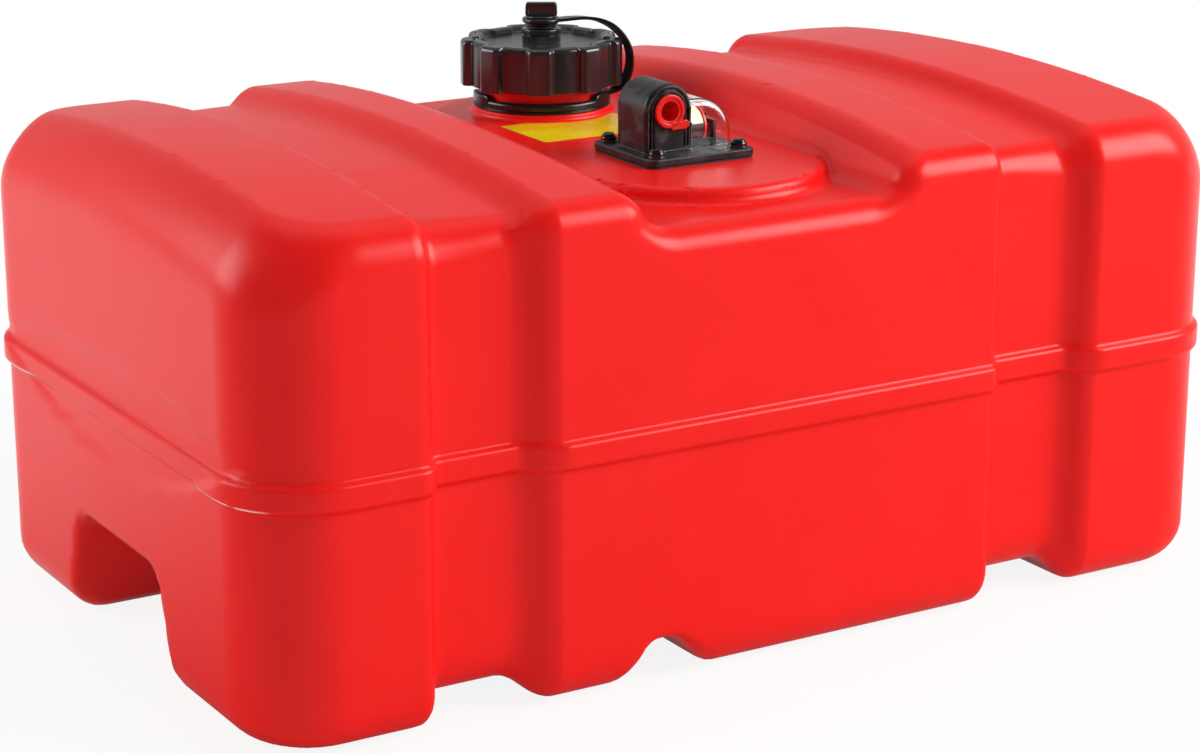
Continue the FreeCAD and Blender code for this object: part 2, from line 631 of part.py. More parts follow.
def vent_screw():
    """Stem, disc and thumb tab; the stem ends just above the air hole."""
    foot = BOSS_TOP + " - stem_depth + rest_gap"
    stem = turned("vent_stem", [
        ("0", foot), ("stem_radius", foot),
        ("stem_radius", DISC), ("disc_radius", DISC), ("disc_radius", DISC + " + disc_thickness"),
        ("stem_radius", DISC + " + disc_thickness"), ("stem_radius", TAB), ("disc_radius - 1", TAB),
        ("disc_radius - 1", TAB + " + disc_thickness"), ("0", TAB + " + disc_thickness")], FILLER)
    tab = doc.addObject("PartDesign::Body", "vent_tab")
    blade = tab.newObject("PartDesign::AdditiveBox", "vent_blade")
    bind(blade, Length="tab_width", Width="tab_thickness", Height="tab_height",
         Placement__Base__x="-tab_width / 2", Placement__Base__y="-tab_thickness / 2")
    doc.recompute()
    corners = [i for i, e in enumerate(blade.Shape.Edges, start=1)
               if e.BoundBox.YLength > 1 and e.BoundBox.XLength < 0.01 and e.BoundBox.ZLength < 0.01
               and e.BoundBox.ZMin > 1]
    rounding = tab.newObject("PartDesign::Fillet", "vent_blade_corners")
    rounding.Base = (blade, ["Edge%d" % i for i in corners])
    bind(rounding, Radius="tab_height / 4")
    tab.Tip = rounding
    place(tab, "fitting_line", "filler_place", TAB)
    return fuse("vent_screw", [stem, turn_about_z(tab, -number("view_turn"))])


def vent_seal():
    """The seal between the cap's boss and the vent screw's disc, a ring of eight-sided section."""
    middle = "stem_radius + 0.3 + seal_section"
    flat = "seal_section * tan(22.5 deg)"
    return turned("vent_seal", [
        (middle + " - " + flat, "-seal_section"), (middle + " + " + flat, "-seal_section"),
        (middle + " + seal_section", "-" + flat), (middle + " + seal_section", flat),
        (middle + " + " + flat, "seal_section"), (middle + " - " + flat, "seal_section"),
        ("stem_radius + 0.3", flat), ("stem_radius + 0.3", "-" + flat)],
        ("fitting_line", "filler_place", BOSS_TOP + " + vent_gap / 2"))


def strap_path():
    """The strap's centre line as (distance from the filler axis, height), from the eye to a lug."""
    top = number(EYE + " + eye_thickness / 2")
    foot = number(COLLAR + " + collar_thickness + 2")
    reach = number("cap_radius + strap_reach")
    drop = top - foot
    start = number("eye_radius") - 1.5
    end = number("collar_radius") - 2
    shape = [(0.45, 0.02), (0.73, -0.05), (0.91, -0.23), (1.0, -0.48), (0.97, -0.70), (0.86, -0.90)]
    return [(start, top)] + [(reach * out, top + drop * down) for out, down in shape] + [(end, foot)]


def ribbon(path, thickness, width):
    """A flat band along a smooth path of (out, up) points, centred on the path's plane."""
    points = [FreeCAD.Vector(out, 0, up) for out, up in path]
    centre = Part.BSplineCurve()
    centre.interpolate(points)
    edges = []
    for side in (-1, 1):
        shifted = []
        for point in points:
            tangent = FreeCAD.Vector(centre.tangent(centre.parameter(point))[0])
            shifted.append(point + tangent.cross(Y).normalize() * (side * thickness / 2))
        flank = Part.BSplineCurve()
        flank.interpolate(shifted)
        edges.append(flank)
    edges.append(Part.LineSegment(edges[0].StartPoint, edges[1].StartPoint))
    edges.append(Part.LineSegment(edges[0].EndPoint, edges[1].EndPoint))
    outline = Part.Wire(Part.__sortEdges__([edge.toShape() for edge in edges]))
    return Part.Face(outline).extrude(Y * width).translated(Y * (-width / 2))


def cap_tether():
    """One moulding: a collar round the neck, a strap, and an eye round the vent screw's stem."""
    collar = tube("tether_collar", "collar_radius", "neck_radius + collar_fit", "collar_thickness",
                  ("fitting_line", "filler_place", COLLAR))
    eye = tube("tether_eye", "eye_radius", "stem_radius + eye_fit", "eye_thickness",
               ("fitting_line", "filler_place", EYE))
    lugs = []
    for i, side in enumerate((0, 180)):
        lug = doc.addObject("PartDesign::Body", "tether_lug_%d" % i)
        block = lug.newObject("PartDesign::AdditiveBox", "lug_block_%d" % i)
        bind(block, Length="collar_radius - neck_radius - collar_fit - 0.2", Width="strap_width",
             Height="4", Placement__Base__x="neck_radius + collar_fit + 0.1",
             Placement__Base__y="-strap_width / 2")
        place(lug, "fitting_line", "filler_place", COLLAR + " + collar_thickness - 1")
        lugs.append(turn_about_z(lug, side - number("view_turn")))
    strap = doc.addObject("Part::Feature", "tether_strap")
    strap.Shape = ribbon(strap_path(), number("strap_thickness"), number("strap_width"))
    place(strap, "fitting_line", "filler_place", "0")
    turn_about_z(strap, -number("view_turn"))
    return fuse("cap_tether", [collar, eye, strap] + lugs)


# ---------------------------------------------------------------- gauge and withdrawal unit
FLANGE = "pad_height + seal_thickness"
FLANGE_TOP = "pad_height + seal_thickness + flange_thickness"
BLOCK_NEAR = "fitting_line + block_start"
BLOCK_FAR = "fitting_line + block_start + block_width"
PORT_X = "fitting_line + block_start + block_width / 2"
PORT_Y = "gauge_place - block_depth / 2"
PORT_Z = FLANGE_TOP + " + port_height"
DRUM_Z = FLANGE_TOP + " + drum_height"
GEAR_CENTRES = "gear_module * (pinion_teeth + sector_teeth) / 2"
SECTOR_Z = DRUM_Z + " - " + GEAR_CENTRES
DRUM_NEAR = "fitting_line + drum_start"
RIM_NEAR = DRUM_NEAR + " + drum_width"
PINION_NEAR = RIM_NEAR + " + rim_thickness"
PINION_FAR = PINION_NEAR + " + gear_width + side_play"
NEAR_CHEEK = BLOCK_FAR + " + side_play"
FAR_CHEEK = PINION_FAR + " + side_play"
MOVEMENT_END = FAR_CHEEK + " + cheek_thickness"
CHEEK_FRONT = "gauge_place - cheek_front"
ARM_X = "(%s + %s) / 2" % (DRUM_NEAR, PINION_NEAR)
SOCKET_TOP = FLANGE + " - 1.5"


def bolt_holes(name, radius, start, end):
    return [cylinder("%s_%d" % (name, i), radius, "(%s) - (%s)" % (end, start), (x, y, start))
            for i, (x, y) in enumerate(screw_spots())]


def gauge_housing():
    """Flange, arched port block and tube socket in one moulding, cut through for the gauge movement."""
    flange = rounded_plate("flange_plate", around("fitting_line", "flange_length"),
                           around("gauge_place", "flange_width"), (FLANGE, FLANGE_TOP), "flange_corner")
    block = box("port_block", (BLOCK_NEAR, BLOCK_FAR), around("gauge_place", "block_depth"),
                (FLANGE_TOP + " - 1", PORT_Z))
    arch = cylinder("port_arch", "block_width / 2", "block_depth", (PORT_X, PORT_Y, PORT_Z), "Y")
    socket = cylinder("tube_socket", "tube_radius + 2.5", "socket_depth + 1",
                      (PORT_X, "gauge_place", FLANGE + " - socket_depth"))
    solid = fuse("housing_solid", [flange, block, arch, socket])
    edged = fillet("housing_edged", solid, block_front_edge, "block_edge")
    movement = (BLOCK_FAR, MOVEMENT_END + " + side_play")
    cuts = [
        cylinder("port_bore", "port_radius", "port_depth + 1", (PORT_X, PORT_Y + " - 1", PORT_Z), "Y"),
        cylinder("fuel_passage", "passage_radius", "port_height + flange_thickness + socket_depth + 1",
                 (PORT_X, "gauge_place", FLANGE + " - socket_depth - 1")),
        cylinder("socket_bore", "tube_radius + pin_fit", "socket_depth",
                 (PORT_X, "gauge_place", SOCKET_TOP + " - socket_depth")),
        box("flange_window", movement, around("gauge_place", "window_width"),
            (FLANGE + " - 1", FLANGE_TOP + " + 0.01")),
        box("sector_pocket", movement, around("gauge_place", "pocket_width"),
            (FLANGE + " - 1", FLANGE + " + pocket_depth"))]
    return cut("gauge_housing", edged, fuse("housing_cuts", cuts + bolt_holes(
        "flange_hole", "screw_radius + screw_fit", FLANGE + " - 1", FLANGE_TOP + " + 1")))


def block_front_edge(edge):
    """The arch-shaped edges round the port block's front and back faces."""
    flat = edge.BoundBox.YLength < 0.01
    ends = [number(PORT_Y), number(PORT_Y + " + block_depth")]
    return flat and edge.BoundBox.ZMin > number(FLANGE_TOP) - 0.01 and edge.BoundBox.ZLength > 1 and any(
        abs(edge.BoundBox.YMin - y) < 0.01 for y in ends)


def gauge_gasket():
    """Flat gasket between the flange and the pad."""
    sheet_form = rounded_plate(
        "gasket_plate", around("fitting_line", "flange_length - 2 * seal_inset"),
        around("gauge_place", "flange_width - 2 * seal_inset"), ("pad_height", FLANGE), "flange_corner")
    mouth = rounded_plate("gasket_mouth", around("fitting_line", "mouth_length"),
                          around("gauge_place", "mouth_width"), ("pad_height - 1", FLANGE + " + 1"),
                          "mouth_corner")
    return cut("gauge_gasket", sheet_form, fuse("gasket_cuts", [mouth] + bolt_holes(
        "gasket_hole", "screw_radius + screw_fit", "pad_height - 1", FLANGE + " + 1")))


def lens_form(name, inset, open_by):
    """The clear cover's form: a box with one long edge bent into a quarter round."""
    end = BLOCK_FAR + " + lens_length - (%s)" % inset
    top = FLANGE_TOP + " + lens_height - (%s)" % inset
    block = box(name + "_block", (BLOCK_FAR + " - (%s)" % open_by, end),
                around("gauge_place", "lens_width - 2 * (%s)" % inset),
                (FLANGE_TOP + " - (%s)" % open_by, top))
    outer, high = number(end) - 0.01, number(top) - 0.01
    return fillet(name, block, lambda e: e.BoundBox.XMin > outer and e.BoundBox.ZMin > high,
                  "lens_bend - (%s)" % inset)


def gauge_lens():
    """The clear cover, open to the port block and to the flange."""
    return cut("gauge_lens", lens_form("lens_outside", "0", "0"),
               lens_form("lens_inside", "lens_wall", "1"))


def gauge_bracket():
    """Two cheeks that hold both pins, tied by two webs, with a foot under the flange."""
    back = "gauge_place + cheek_back"
    cheeks = []
    for name, near in (("near_cheek", NEAR_CHEEK), ("far_cheek", FAR_CHEEK)):
        cheeks.append(box(name, (near, near + " + cheek_thickness"), (CHEEK_FRONT, back),
                          (SECTOR_Z + " - 6", DRUM_Z + " + 4")))
    webs = [box(name, (NEAR_CHEEK, MOVEMENT_END), (CHEEK_FRONT, CHEEK_FRONT + " + cheek_thickness"), span)
            for name, span in (("upper_web", (FLANGE_TOP + " + 0.5", FLANGE_TOP + " + 4")),
                               ("lower_web", (SECTOR_Z + " - 6", SECTOR_Z + " - 3")))]
    foot = box("bracket_foot", (NEAR_CHEEK + " - foot_length", NEAR_CHEEK + " + 0.1"),
               around("gauge_place", "2 * foot_length"), (FLANGE + " - 2", FLANGE))
    bores = [cylinder(name, "pin_radius", "tank_width", (NEAR_CHEEK + " - 1", "gauge_place", height), "X")
             for name, height in (("drum_pin_bore", DRUM_Z), ("sector_pin_bore", SECTOR_Z))]
    return cut("gauge_bracket", fuse("bracket_solid", cheeks + webs + [foot]), fuse("bracket_bores", bores))


def movement_pin(name, height):
    """One of the two steel pins that the bracket's cheeks hold."""
    return cylinder(name, "pin_radius", "(%s) - (%s)" % (MOVEMENT_END, NEAR_CHEEK),
                    (NEAR_CHEEK, "gauge_place", height), "X")


def gear_outline(teeth, angles):
    """Points of involute teeth of one gear at the given angles, in degrees, from X towards Y."""
    module = number("gear_module")
    pitch = module * teeth / 2
    base = pitch * math.cos(math.radians(20))
    root, tip = pitch - 1.1 * module, pitch + 0.8 * module

    def swing(radius):
        slope = math.acos(min(1, base / radius))
        return math.tan(slope) - slope

    half = math.pi / (2 * teeth) - number("tooth_play") / pitch + swing(pitch)
    flank = [max(base, root) + (tip - max(base, root)) * step / 3 for step in range(4)]
    points = []
    for angle in angles:
        centre = math.radians(angle)
        side = [(root, half)] + [(radius, half - swing(radius)) for radius in flank]
        points += [(r * math.cos(centre - a), r * math.sin(centre - a)) for r, a in side]
        points += [(r * math.cos(centre + a), r * math.sin(centre + a)) for r, a in reversed(side)]
    return points


def plate_of_points(points, start, width):
    """A flat plate of (across, up) points, its near face at a station along X."""
    corners = [FreeCAD.Vector(start, y, z) for y, z in points]
    return Part.Face(Part.makePolygon(corners + corners[:1])).extrude(X * width)


def indicator_drum():
    """Drum, raised rim and pinion in one moulding that turns on the upper pin."""
    teeth = int(number("pinion_teeth"))
    step = 360 / teeth
    outline = gear_outline(teeth, [-90 + step * (i + 0.5) for i in range(teeth)])
    pinion = doc.addObject("Part::Feature", "pinion")
    pinion.Shape = plate_of_points(outline, 0, number("gear_width + side_play"))
    place(pinion, PINION_NEAR, "gauge_place", DRUM_Z)
    drum = cylinder("drum_body", "drum_radius", "drum_width", (DRUM_NEAR, "gauge_place", DRUM_Z), "X")
    rim = cylinder("drum_rim", "drum_radius + rim_proud", "rim_thickness",
                   (RIM_NEAR, "gauge_place", DRUM_Z), "X")
    bore = cylinder("drum_bore", "pin_radius + pin_fit", "tank_width",
                    (DRUM_NEAR + " - 1", "gauge_place", DRUM_Z), "X")
    return cut("indicator_drum", fuse("drum_solid", [drum, rim, pinion]), bore)


def sector_gear():
    """Toothed sector and long hub on the lower pin, with a socket for the float arm."""
    teeth = number("sector_teeth")
    step = 360 / teeth
    cut_teeth = int(number("sector_cut"))
    first = 90 + step * number("sector_lead")
    angles = [first - step * i for i in reversed(range(cut_teeth))]
    outline = [(0, 0)] + gear_outline(teeth, angles)
    sector = doc.addObject("Part::Feature", "sector_plate")
    sector.Shape = plate_of_points(outline, 0, number("gear_width"))
    place(sector, PINION_NEAR + " + side_play / 2", "gauge_place", SECTOR_Z)
    hub = cylinder("sector_hub", "hub_radius", "(%s) - (%s)" % (PINION_FAR, DRUM_NEAR),
                   (DRUM_NEAR, "gauge_place", SECTOR_Z), "X")
    socket = cylinder("arm_socket", "wire_radius + 1.2", "arm_socket_length",
                      (ARM_X, "gauge_place", SECTOR_Z))
    point_down_the_arm(socket)
    wire = cylinder("arm_socket_bore", "wire_radius", "tank_width", (ARM_X, "gauge_place", SECTOR_Z))
    point_down_the_arm(wire)
    wire_space = cut("arm_bore", wire, cylinder("hub_core", "hub_radius - 1", "tank_width",
                                                ("-tank_width / 2", "gauge_place", SECTOR_Z), "X"))
    bore = cylinder("sector_bore", "pin_radius + pin_fit", "tank_width",
                    (DRUM_NEAR + " - 1", "gauge_place", SECTOR_Z), "X")
    return cut("sector_gear", fuse("sector_solid", [sector, hub, socket]),
               fuse("sector_cuts", [bore, wire_space]))


FLOAT_Z = "wall + float_clearance + float_radius"
ARM_LENGTH = "(%s - (%s)) / sin(arm_rest * 1 deg)" % (SECTOR_Z, FLOAT_Z)
FLOAT_Y = "gauge_place + %s * cos(arm_rest * 1 deg)" % ARM_LENGTH
FLOAT_NEAR = ARM_X + " + elbow_radius + clip_thickness + 1"


def point_down_the_arm(thing):
    """Turn an upright object so that it points from the pivot along the float arm at rest."""
    slope = math.radians(number("arm_rest"))
    direction = FreeCAD.Vector(0, math.cos(slope), -math.sin(slope))
    thing.Placement = FreeCAD.Placement(thing.Placement.Base, FreeCAD.Rotation(Z, direction))


def float_arm():
    """Wire from the sector's socket down to the float, bent to run through the float along X."""
    bend = number("elbow_radius")
    reach = number(ARM_LENGTH)
    start = number("hub_radius") - 1
    leg = number("float_length + 2 * clip_thickness + 3")
    knee = FreeCAD.Vector(0, 0, reach - bend)
    middle = FreeCAD.Vector(bend * (1 - math.sqrt(0.5)), 0, reach - bend * (1 - math.sqrt(0.5)))
    corner = FreeCAD.Vector(bend, 0, reach)
    path = Part.Wire([
        Part.LineSegment(FreeCAD.Vector(0, 0, start), knee).toShape(),
        Part.Arc(knee, middle, corner).toShape(),
        Part.LineSegment(corner, corner + X * leg).toShape()])
    ring = Part.Wire(Part.Circle(FreeCAD.Vector(0, 0, start), Z, number("wire_radius")).toShape())
    wire = doc.addObject("Part::Feature", "float_arm")
    wire.Shape = path.makePipeShell([ring], True, False)
    slope = number("arm_rest")
    place(wire, ARM_X, "gauge_place", SECTOR_Z)
    wire.Placement = FreeCAD.Placement(wire.Placement.Base, FreeCAD.Rotation(X, -(90 + slope)))
    return wire


def float_body():
    """The buoyant float, a drum with rounded ends, loose on the arm's last leg."""
    round_end = "float_radius / 4"
    return turned("float_body", [
        ("wire_radius + pin_fit", "0"), ("float_radius - " + round_end, "0"), ("float_radius", round_end),
        ("float_radius", "float_length - " + round_end), ("float_radius - " + round_end, "float_length"),
        ("wire_radius + pin_fit", "float_length")], (FLOAT_NEAR, FLOAT_Y, FLOAT_Z), "X")


def group(name, pieces):
    """Several like pieces in one node."""
    together = doc.addObject("Part::Compound", name)
    together.Links = pieces
    return together


def float_clips():
    """Push-on clips that keep the float on its wire, one at each end."""
    stations = [FLOAT_NEAR + " - clip_thickness - rest_gap", FLOAT_NEAR + " + float_length + rest_gap"]
    clips = [tube("float_clip_%d" % i, "wire_radius + 3", "wire_radius", "clip_thickness",
                  (x, FLOAT_Y, FLOAT_Z), "X") for i, x in enumerate(stations)]
    return group("float_clips", clips)


def pickup_tube():
    """The tube that draws fuel from just above the tank's floor."""
    return tube("pickup_tube", "tube_radius", "tube_radius - 1", "(%s) - tube_end" % SOCKET_TOP,
                (PORT_X, "gauge_place", "tube_end"))


def pickup_strainer():
    """Slotted cup pushed over the lower end of the pickup tube."""
    body = doc.addObject("PartDesign::Body", "strainer_cup")
    turn = body.newObject("PartDesign::Revolution", "strainer_turn")
    grip = "strainer_length - 6"
    turn.Profile = sketch_on(body, "XZ_Plane", [
        ("0", "0"), ("strainer_radius", "0"), ("strainer_radius", "strainer_length"),
        ("tube_radius + 0.02", "strainer_length"), ("tube_radius + 0.02", grip),
        ("strainer_radius - 1.2", grip), ("strainer_radius - 1.2", "1.5"), ("0", "1.5")])
    turn.ReferenceAxis = (origin_part(body, "Z_Axis"), [""])
    turn.Angle = 360
    slot = body.newObject("PartDesign::SubtractiveBox", "strainer_slot")
    bind(slot, Length="strainer_radius + 1", Width="1.6", Height="strainer_length - 11",
         Placement__Base__y="-0.8", Placement__Base__z="3")
    slots = body.newObject("PartDesign::PolarPattern", "strainer_slots")
    slots.Originals = [slot]
    slots.Axis = (origin_part(body, "Z_Axis"), [""])
    slots.Angle = 360
    slots.Occurrences = 8
    body.Tip = slots
    return place(body, PORT_X, "gauge_place", "tube_end + 6 - strainer_length")


def port_plug():
    """Hollow push-in plug with a rim and a pull tab, open to the front."""
    outer = "port_radius - plug_fit"
    inner = "port_radius - plug_fit - plug_wall"
    cup = turned("plug_cup", [
        ("0", "-plug_length"), (outer, "-plug_length"), (outer, "0"),
        ("plug_rim", "0"), ("plug_rim", "plug_rim_thickness"), (inner, "plug_rim_thickness"),
        (inner, "plug_wall - plug_length"), ("0", "plug_wall - plug_length")],
        (PORT_X, PORT_Y, PORT_Z), "-Y")
    tab = doc.addObject("PartDesign::Body", "plug_tab")
    tongue = tab.newObject("PartDesign::AdditiveBox", "plug_tongue")
    bind(tongue, Length="plug_rim + 2.5 - port_radius", Height="4.5", Width="plug_rim_thickness",
         Placement__Base__x="port_radius", Placement__Base__y="-plug_rim_thickness",
         Placement__Base__z="-2.25")
    place(tab, PORT_X, PORT_Y, PORT_Z)
    tab.Placement = FreeCAD.Placement(tab.Placement.Base, FreeCAD.Rotation(Y, number("plug_tab_turn")))
    return fuse("port_plug", [cup, tab])


def gauge_screws():
    """Four pan-head screws through the flange into the brass inserts."""
    screws = []
    profile = [("0", "-screw_length"), ("screw_radius", "-screw_length"), ("screw_radius", "0"),
               ("head_radius", "0"), ("head_radius", "head_height * 0.3"),
               ("head_radius * 0.82", "head_height * 0.75"), ("head_radius * 0.4", "head_height"),
               ("0", "head_height")]
    for i, (x, y) in enumerate(screw_spots()):
        screws.append(turned("gauge_screw_%d" % i, profile, (x, y, FLANGE_TOP)))
    return group("gauge_screws", screws)


def screw_inserts():
    """Brass inserts moulded into the pad for the gauge screws."""
    return group("screw_inserts", [
        tube("screw_insert_%d" % i, "insert_radius", "screw_radius + 0.02", "insert_length",
             (x, y, "pad_height - insert_length")) for i, (x, y) in enumerate(screw_spots())])


def info_label():
    """The bare label between the filler and the gauge unit."""
    return rounded_plate("info_label", around("fitting_line + label_shift", "label_length"),
                         around("label_place", "label_width"),
                         ("pad_height", "pad_height + label_thickness"), "2")


# ---------------------------------------------------------------- build, check and write
BUILDERS = [
    tank_shell, filler_cap, cap_gasket, vent_screw, vent_seal, cap_tether, gauge_housing, gauge_gasket,
    gauge_lens, gauge_bracket, indicator_drum, sector_gear, float_arm, float_body, float_clips, pickup_tube,
    pickup_strainer, port_plug, gauge_screws, screw_inserts, info_label,
]
nodes = {builder.__name__: builder() for builder in BUILDERS}
nodes["drum_pin"] = movement_pin("drum_pin", DRUM_Z)
nodes["sector_pin"] = movement_pin("sector_pin", SECTOR_Z)
for name, node in nodes.items():
    node.Label = name
doc.recompute()

for thing in doc.Objects:
    if "Invalid" in thing.State or "Error" in thing.State:
        raise RuntimeError("%s failed: %s" % (thing.Name, thing.State))
for name, node in nodes.items():
    if node.Shape.isNull() or not node.Shape.isValid():
        raise RuntimeError("%s has no valid shape" % name)

os.makedirs("parts", exist_ok=True)
for name, node in nodes.items():
    node.Shape.exportStep("parts/%s.step" % name)
    box_of = node.Shape.BoundBox
    print("%-16s %d solid(s) %10.1f mm3  x %7.1f %7.1f  y %7.1f %7.1f  z %6.1f %6.1f" % (
        name, len(node.Shape.Solids), node.Shape.Volume, box_of.XMin, box_of.XMax, box_of.YMin, box_of.YMax,
        box_of.ZMin, box_of.ZMax))
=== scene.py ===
import bpy
import math
import numpy as np
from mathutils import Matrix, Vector


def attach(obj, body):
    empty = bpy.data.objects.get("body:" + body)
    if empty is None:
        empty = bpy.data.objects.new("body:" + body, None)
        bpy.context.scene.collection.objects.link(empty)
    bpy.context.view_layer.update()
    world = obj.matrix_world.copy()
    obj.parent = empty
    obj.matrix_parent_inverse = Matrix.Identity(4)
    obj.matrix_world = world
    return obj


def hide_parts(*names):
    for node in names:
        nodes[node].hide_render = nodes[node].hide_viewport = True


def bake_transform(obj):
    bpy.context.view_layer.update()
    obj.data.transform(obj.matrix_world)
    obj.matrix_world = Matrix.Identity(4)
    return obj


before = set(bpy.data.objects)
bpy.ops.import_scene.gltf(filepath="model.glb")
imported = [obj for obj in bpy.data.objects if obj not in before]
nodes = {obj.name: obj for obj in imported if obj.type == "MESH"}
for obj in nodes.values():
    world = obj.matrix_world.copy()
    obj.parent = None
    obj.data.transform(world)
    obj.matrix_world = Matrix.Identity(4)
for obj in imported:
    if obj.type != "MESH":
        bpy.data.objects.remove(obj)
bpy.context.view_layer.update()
mm = 0.001                                   # shapes are worked out in millimetres and stored in metres
print("frame loaded:", len(nodes), "nodes")

# Small helpers for shapes given as fields: negative inside, positive outside, in millimetres.

def roundedBoth(a, b, radius):
    # where two solids overlap, with the edge between them rounded to the radius
    u = np.maximum(a + radius, 0)
    v = np.maximum(b + radius, 0)
    return np.minimum(np.maximum(a + radius, b + radius), 0) + np.hypot(u, v) - radius

def roundedEither(a, b, radius):
    # two solids joined, with the corner between them filled to the radius
    return -roundedBoth(-a, -b, radius)

def roundedAway(solid, hollow, radius):
    # a solid less a hollow, with the rim rounded to the radius
    return roundedBoth(solid, -hollow, radius)

def cutAway(solid, hollow):
    # a solid less a hollow, with a sharp rim
    return np.maximum(solid, -hollow)

def rectangle(x, y, halfX, halfY, radius):
    # distance to a rectangle with round corners, about the origin
    u = np.abs(x) - halfX + radius
    v = np.abs(y) - halfY + radius
    return np.minimum(np.maximum(u, v), 0) + np.hypot(np.maximum(u, 0), np.maximum(v, 0)) - radius

def plate(x, y, middle, half, radius):
    # the same rectangle about another middle
    return rectangle(x - middle[0], y - middle[1], *half, radius)

def between(value, low, high):
    return np.maximum(low - value, value - high)

def rise(value, start, end):
    # 0 before start, 1 after end, and an S-shaped rise between them
    t = np.clip((value - start) / (end - start), 0, 1)
    return t * t * (3 - 2 * t)

def spread(*stretches):
    # grid lines from (start, end, step) stretches that follow one another
    lines = [np.arange(start, end - step * 0.25, step) for start, end, step in stretches]
    return np.concatenate(lines + [[stretches[-1][1]]])

def slopeOf(field, points):
    # the field's gradient at points, by central differences
    step = 0.02
    parts = []
    for axis in range(3):
        ahead, behind = points.copy(), points.copy()
        ahead[:, axis] += step
        behind[:, axis] -= step
        parts.append((field(*ahead.T) - field(*behind.T)) / (2 * step))
    return np.stack(parts, axis=1)

def skinOf(field, xs, ys, zs):
    # The field is read on a box grid. Each cell that the surface crosses gets one point, moved along the
    # field's slope until the field is zero there. Each crossed grid edge gets one face of four points.
    values = field(*np.meshgrid(xs, ys, zs, indexing="ij"))
    inside = values < 0
    size = [n - 1 for n in inside.shape]
    corners = sum(inside[i:i + size[0], j:j + size[1], k:k + size[2]].astype(np.int8)
                  for i in (0, 1) for j in (0, 1) for k in (0, 1))
    cells = np.argwhere((corners > 0) & (corners < 8))
    number = np.full(size, -1)
    number[tuple(cells.T)] = np.arange(len(cells))
    low, high = (np.stack([line[cell + past] for cell, line in zip(cells.T, (xs, ys, zs))], axis=1)
                 for past in (0, 1))
    points = (low + high) / 2
    for _ in range(6):
        slope = slopeOf(field, points)
        steep = np.maximum((slope ** 2).sum(axis=1), 0.05)
        points = np.clip(points - slope * (field(*points.T) / steep)[:, None], low, high)
    quads = np.concatenate([facesAcross(inside, number, axis) for axis in range(3)])
    return points, list(quads), slopeOf(field, points)

def facesAcross(inside, number, axis):
    # the faces that cross the grid edges along one axis, turned to look outwards
    first, second = [a for a in range(3) if a != axis]
    count = inside.shape[axis]
    start = inside.take(range(count - 1), axis)
    end = inside.take(range(1, count), axis)
    at = np.argwhere(start != end)
    clear = [(at[:, a] > 0) & (at[:, a] < inside.shape[a] - 1) for a in (first, second)]
    at = at[clear[0] & clear[1]]
    leaves = start[tuple(at.T)]
    ring = []
    for du, dv in ((-1, -1), (0, -1), (0, 0), (-1, 0)):
        cell = at.copy()
        cell[:, first] += du
        cell[:, second] += dv
        ring.append(number[tuple(cell.T)])
    quads = np.stack(ring, axis=1)
    turned = leaves if axis == 1 else ~leaves
    quads[turned] = quads[turned][:, ::-1]
    return quads

def placed(name, data):
    # a new object of the scene
    thing = bpy.data.objects.new(name, data)
    bpy.context.scene.collection.objects.link(thing)
    return thing

def buildMesh(name, points, faces, normals):
    mesh = bpy.data.meshes.new(name)
    mesh.from_pydata((points * mm).tolist(), [], [face.tolist() for face in faces])
    mesh.polygons.foreach_set("use_smooth", np.ones(len(mesh.polygons), bool))
    length = np.maximum(np.linalg.norm(normals, axis=1, keepdims=True), 1e-9)
    mesh.normals_split_custom_set_from_vertices((normals / length).tolist())
    return placed(name, mesh)

def joined(*parts):
    # several parts as one; a part is its points, its faces and its outward normals
    points, faces, normals, count = [], [], [], 0
    for spots, rings, slopes in parts:
        points.append(spots)
        normals.append(slopes)
        faces += [ring + count for ring in rings]
        count += len(spots)
    return np.concatenate(points), faces, np.concatenate(normals)

def movedPart(part, place=(0, 0, 0), axes=np.eye(3)):
    # a part made about the origin, with its own X, Y and Z along the rows of axes, put at a place
    points, faces, normals = part
    turn = np.array(axes, float)
    return points @ turn + place, faces, normals @ turn

def turnedBy(degrees):
    # the axes that turn a part about Z
    turn = math.radians(degrees)
    return [(math.cos(turn), math.sin(turn), 0), (-math.sin(turn), math.cos(turn), 0), (0, 0, 1)]

def makePiece(name, bodyName, replaced, slotName, material, *parts):
    thing = buildMesh(name, *joined(*parts))
    thing.data.materials.append(material)
    if bodyName:
        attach(thing, bodyName)
    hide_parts(replaced)
    print(name + ":", len(thing.data.polygons), "faces")
    return thing

def softened(corners, steps=4):
    # A line through (out, up, radius) corners, each corner turned into an arc of its radius. Along the arc
    # the heading turns evenly, and the point is the arc's start plus the radius times the change of the
    # heading's sine (out) and of minus its cosine (up). Gives the points and the unit heading at each.
    corners = np.array(corners, float)
    spots, radius = corners[:, :2], corners[:, 2:]
    heading = np.roll(spots, -1, 0) - spots
    leaving = np.arctan2(heading[:, 1], heading[:, 0])
    arriving = np.roll(leaving, 1)
    turn = (leaving - arriving + math.pi) % (2 * math.pi) - math.pi
    back = radius * np.abs(np.tan(turn / 2))[:, None]
    start = spots - back * np.stack([np.cos(arriving), np.sin(arriving)], 1)
    angle = arriving[:, None] + turn[:, None] * np.linspace(0, 1, steps + 1)
    bend = radius * np.sign(turn)[:, None]
    out = start[:, :1] + bend * (np.sin(angle) - np.sin(angle[:, :1]))
    up = start[:, 1:] - bend * (np.cos(angle) - np.cos(angle[:, :1]))
    line = np.stack([out, up], 2).reshape(-1, 2)
    heads = np.stack([np.cos(angle), np.sin(angle)], 2).reshape(-1, 2)
    fresh = np.linalg.norm(line - np.roll(line, 1, 0), axis=1) > 1e-4
    return line[fresh], heads[fresh]

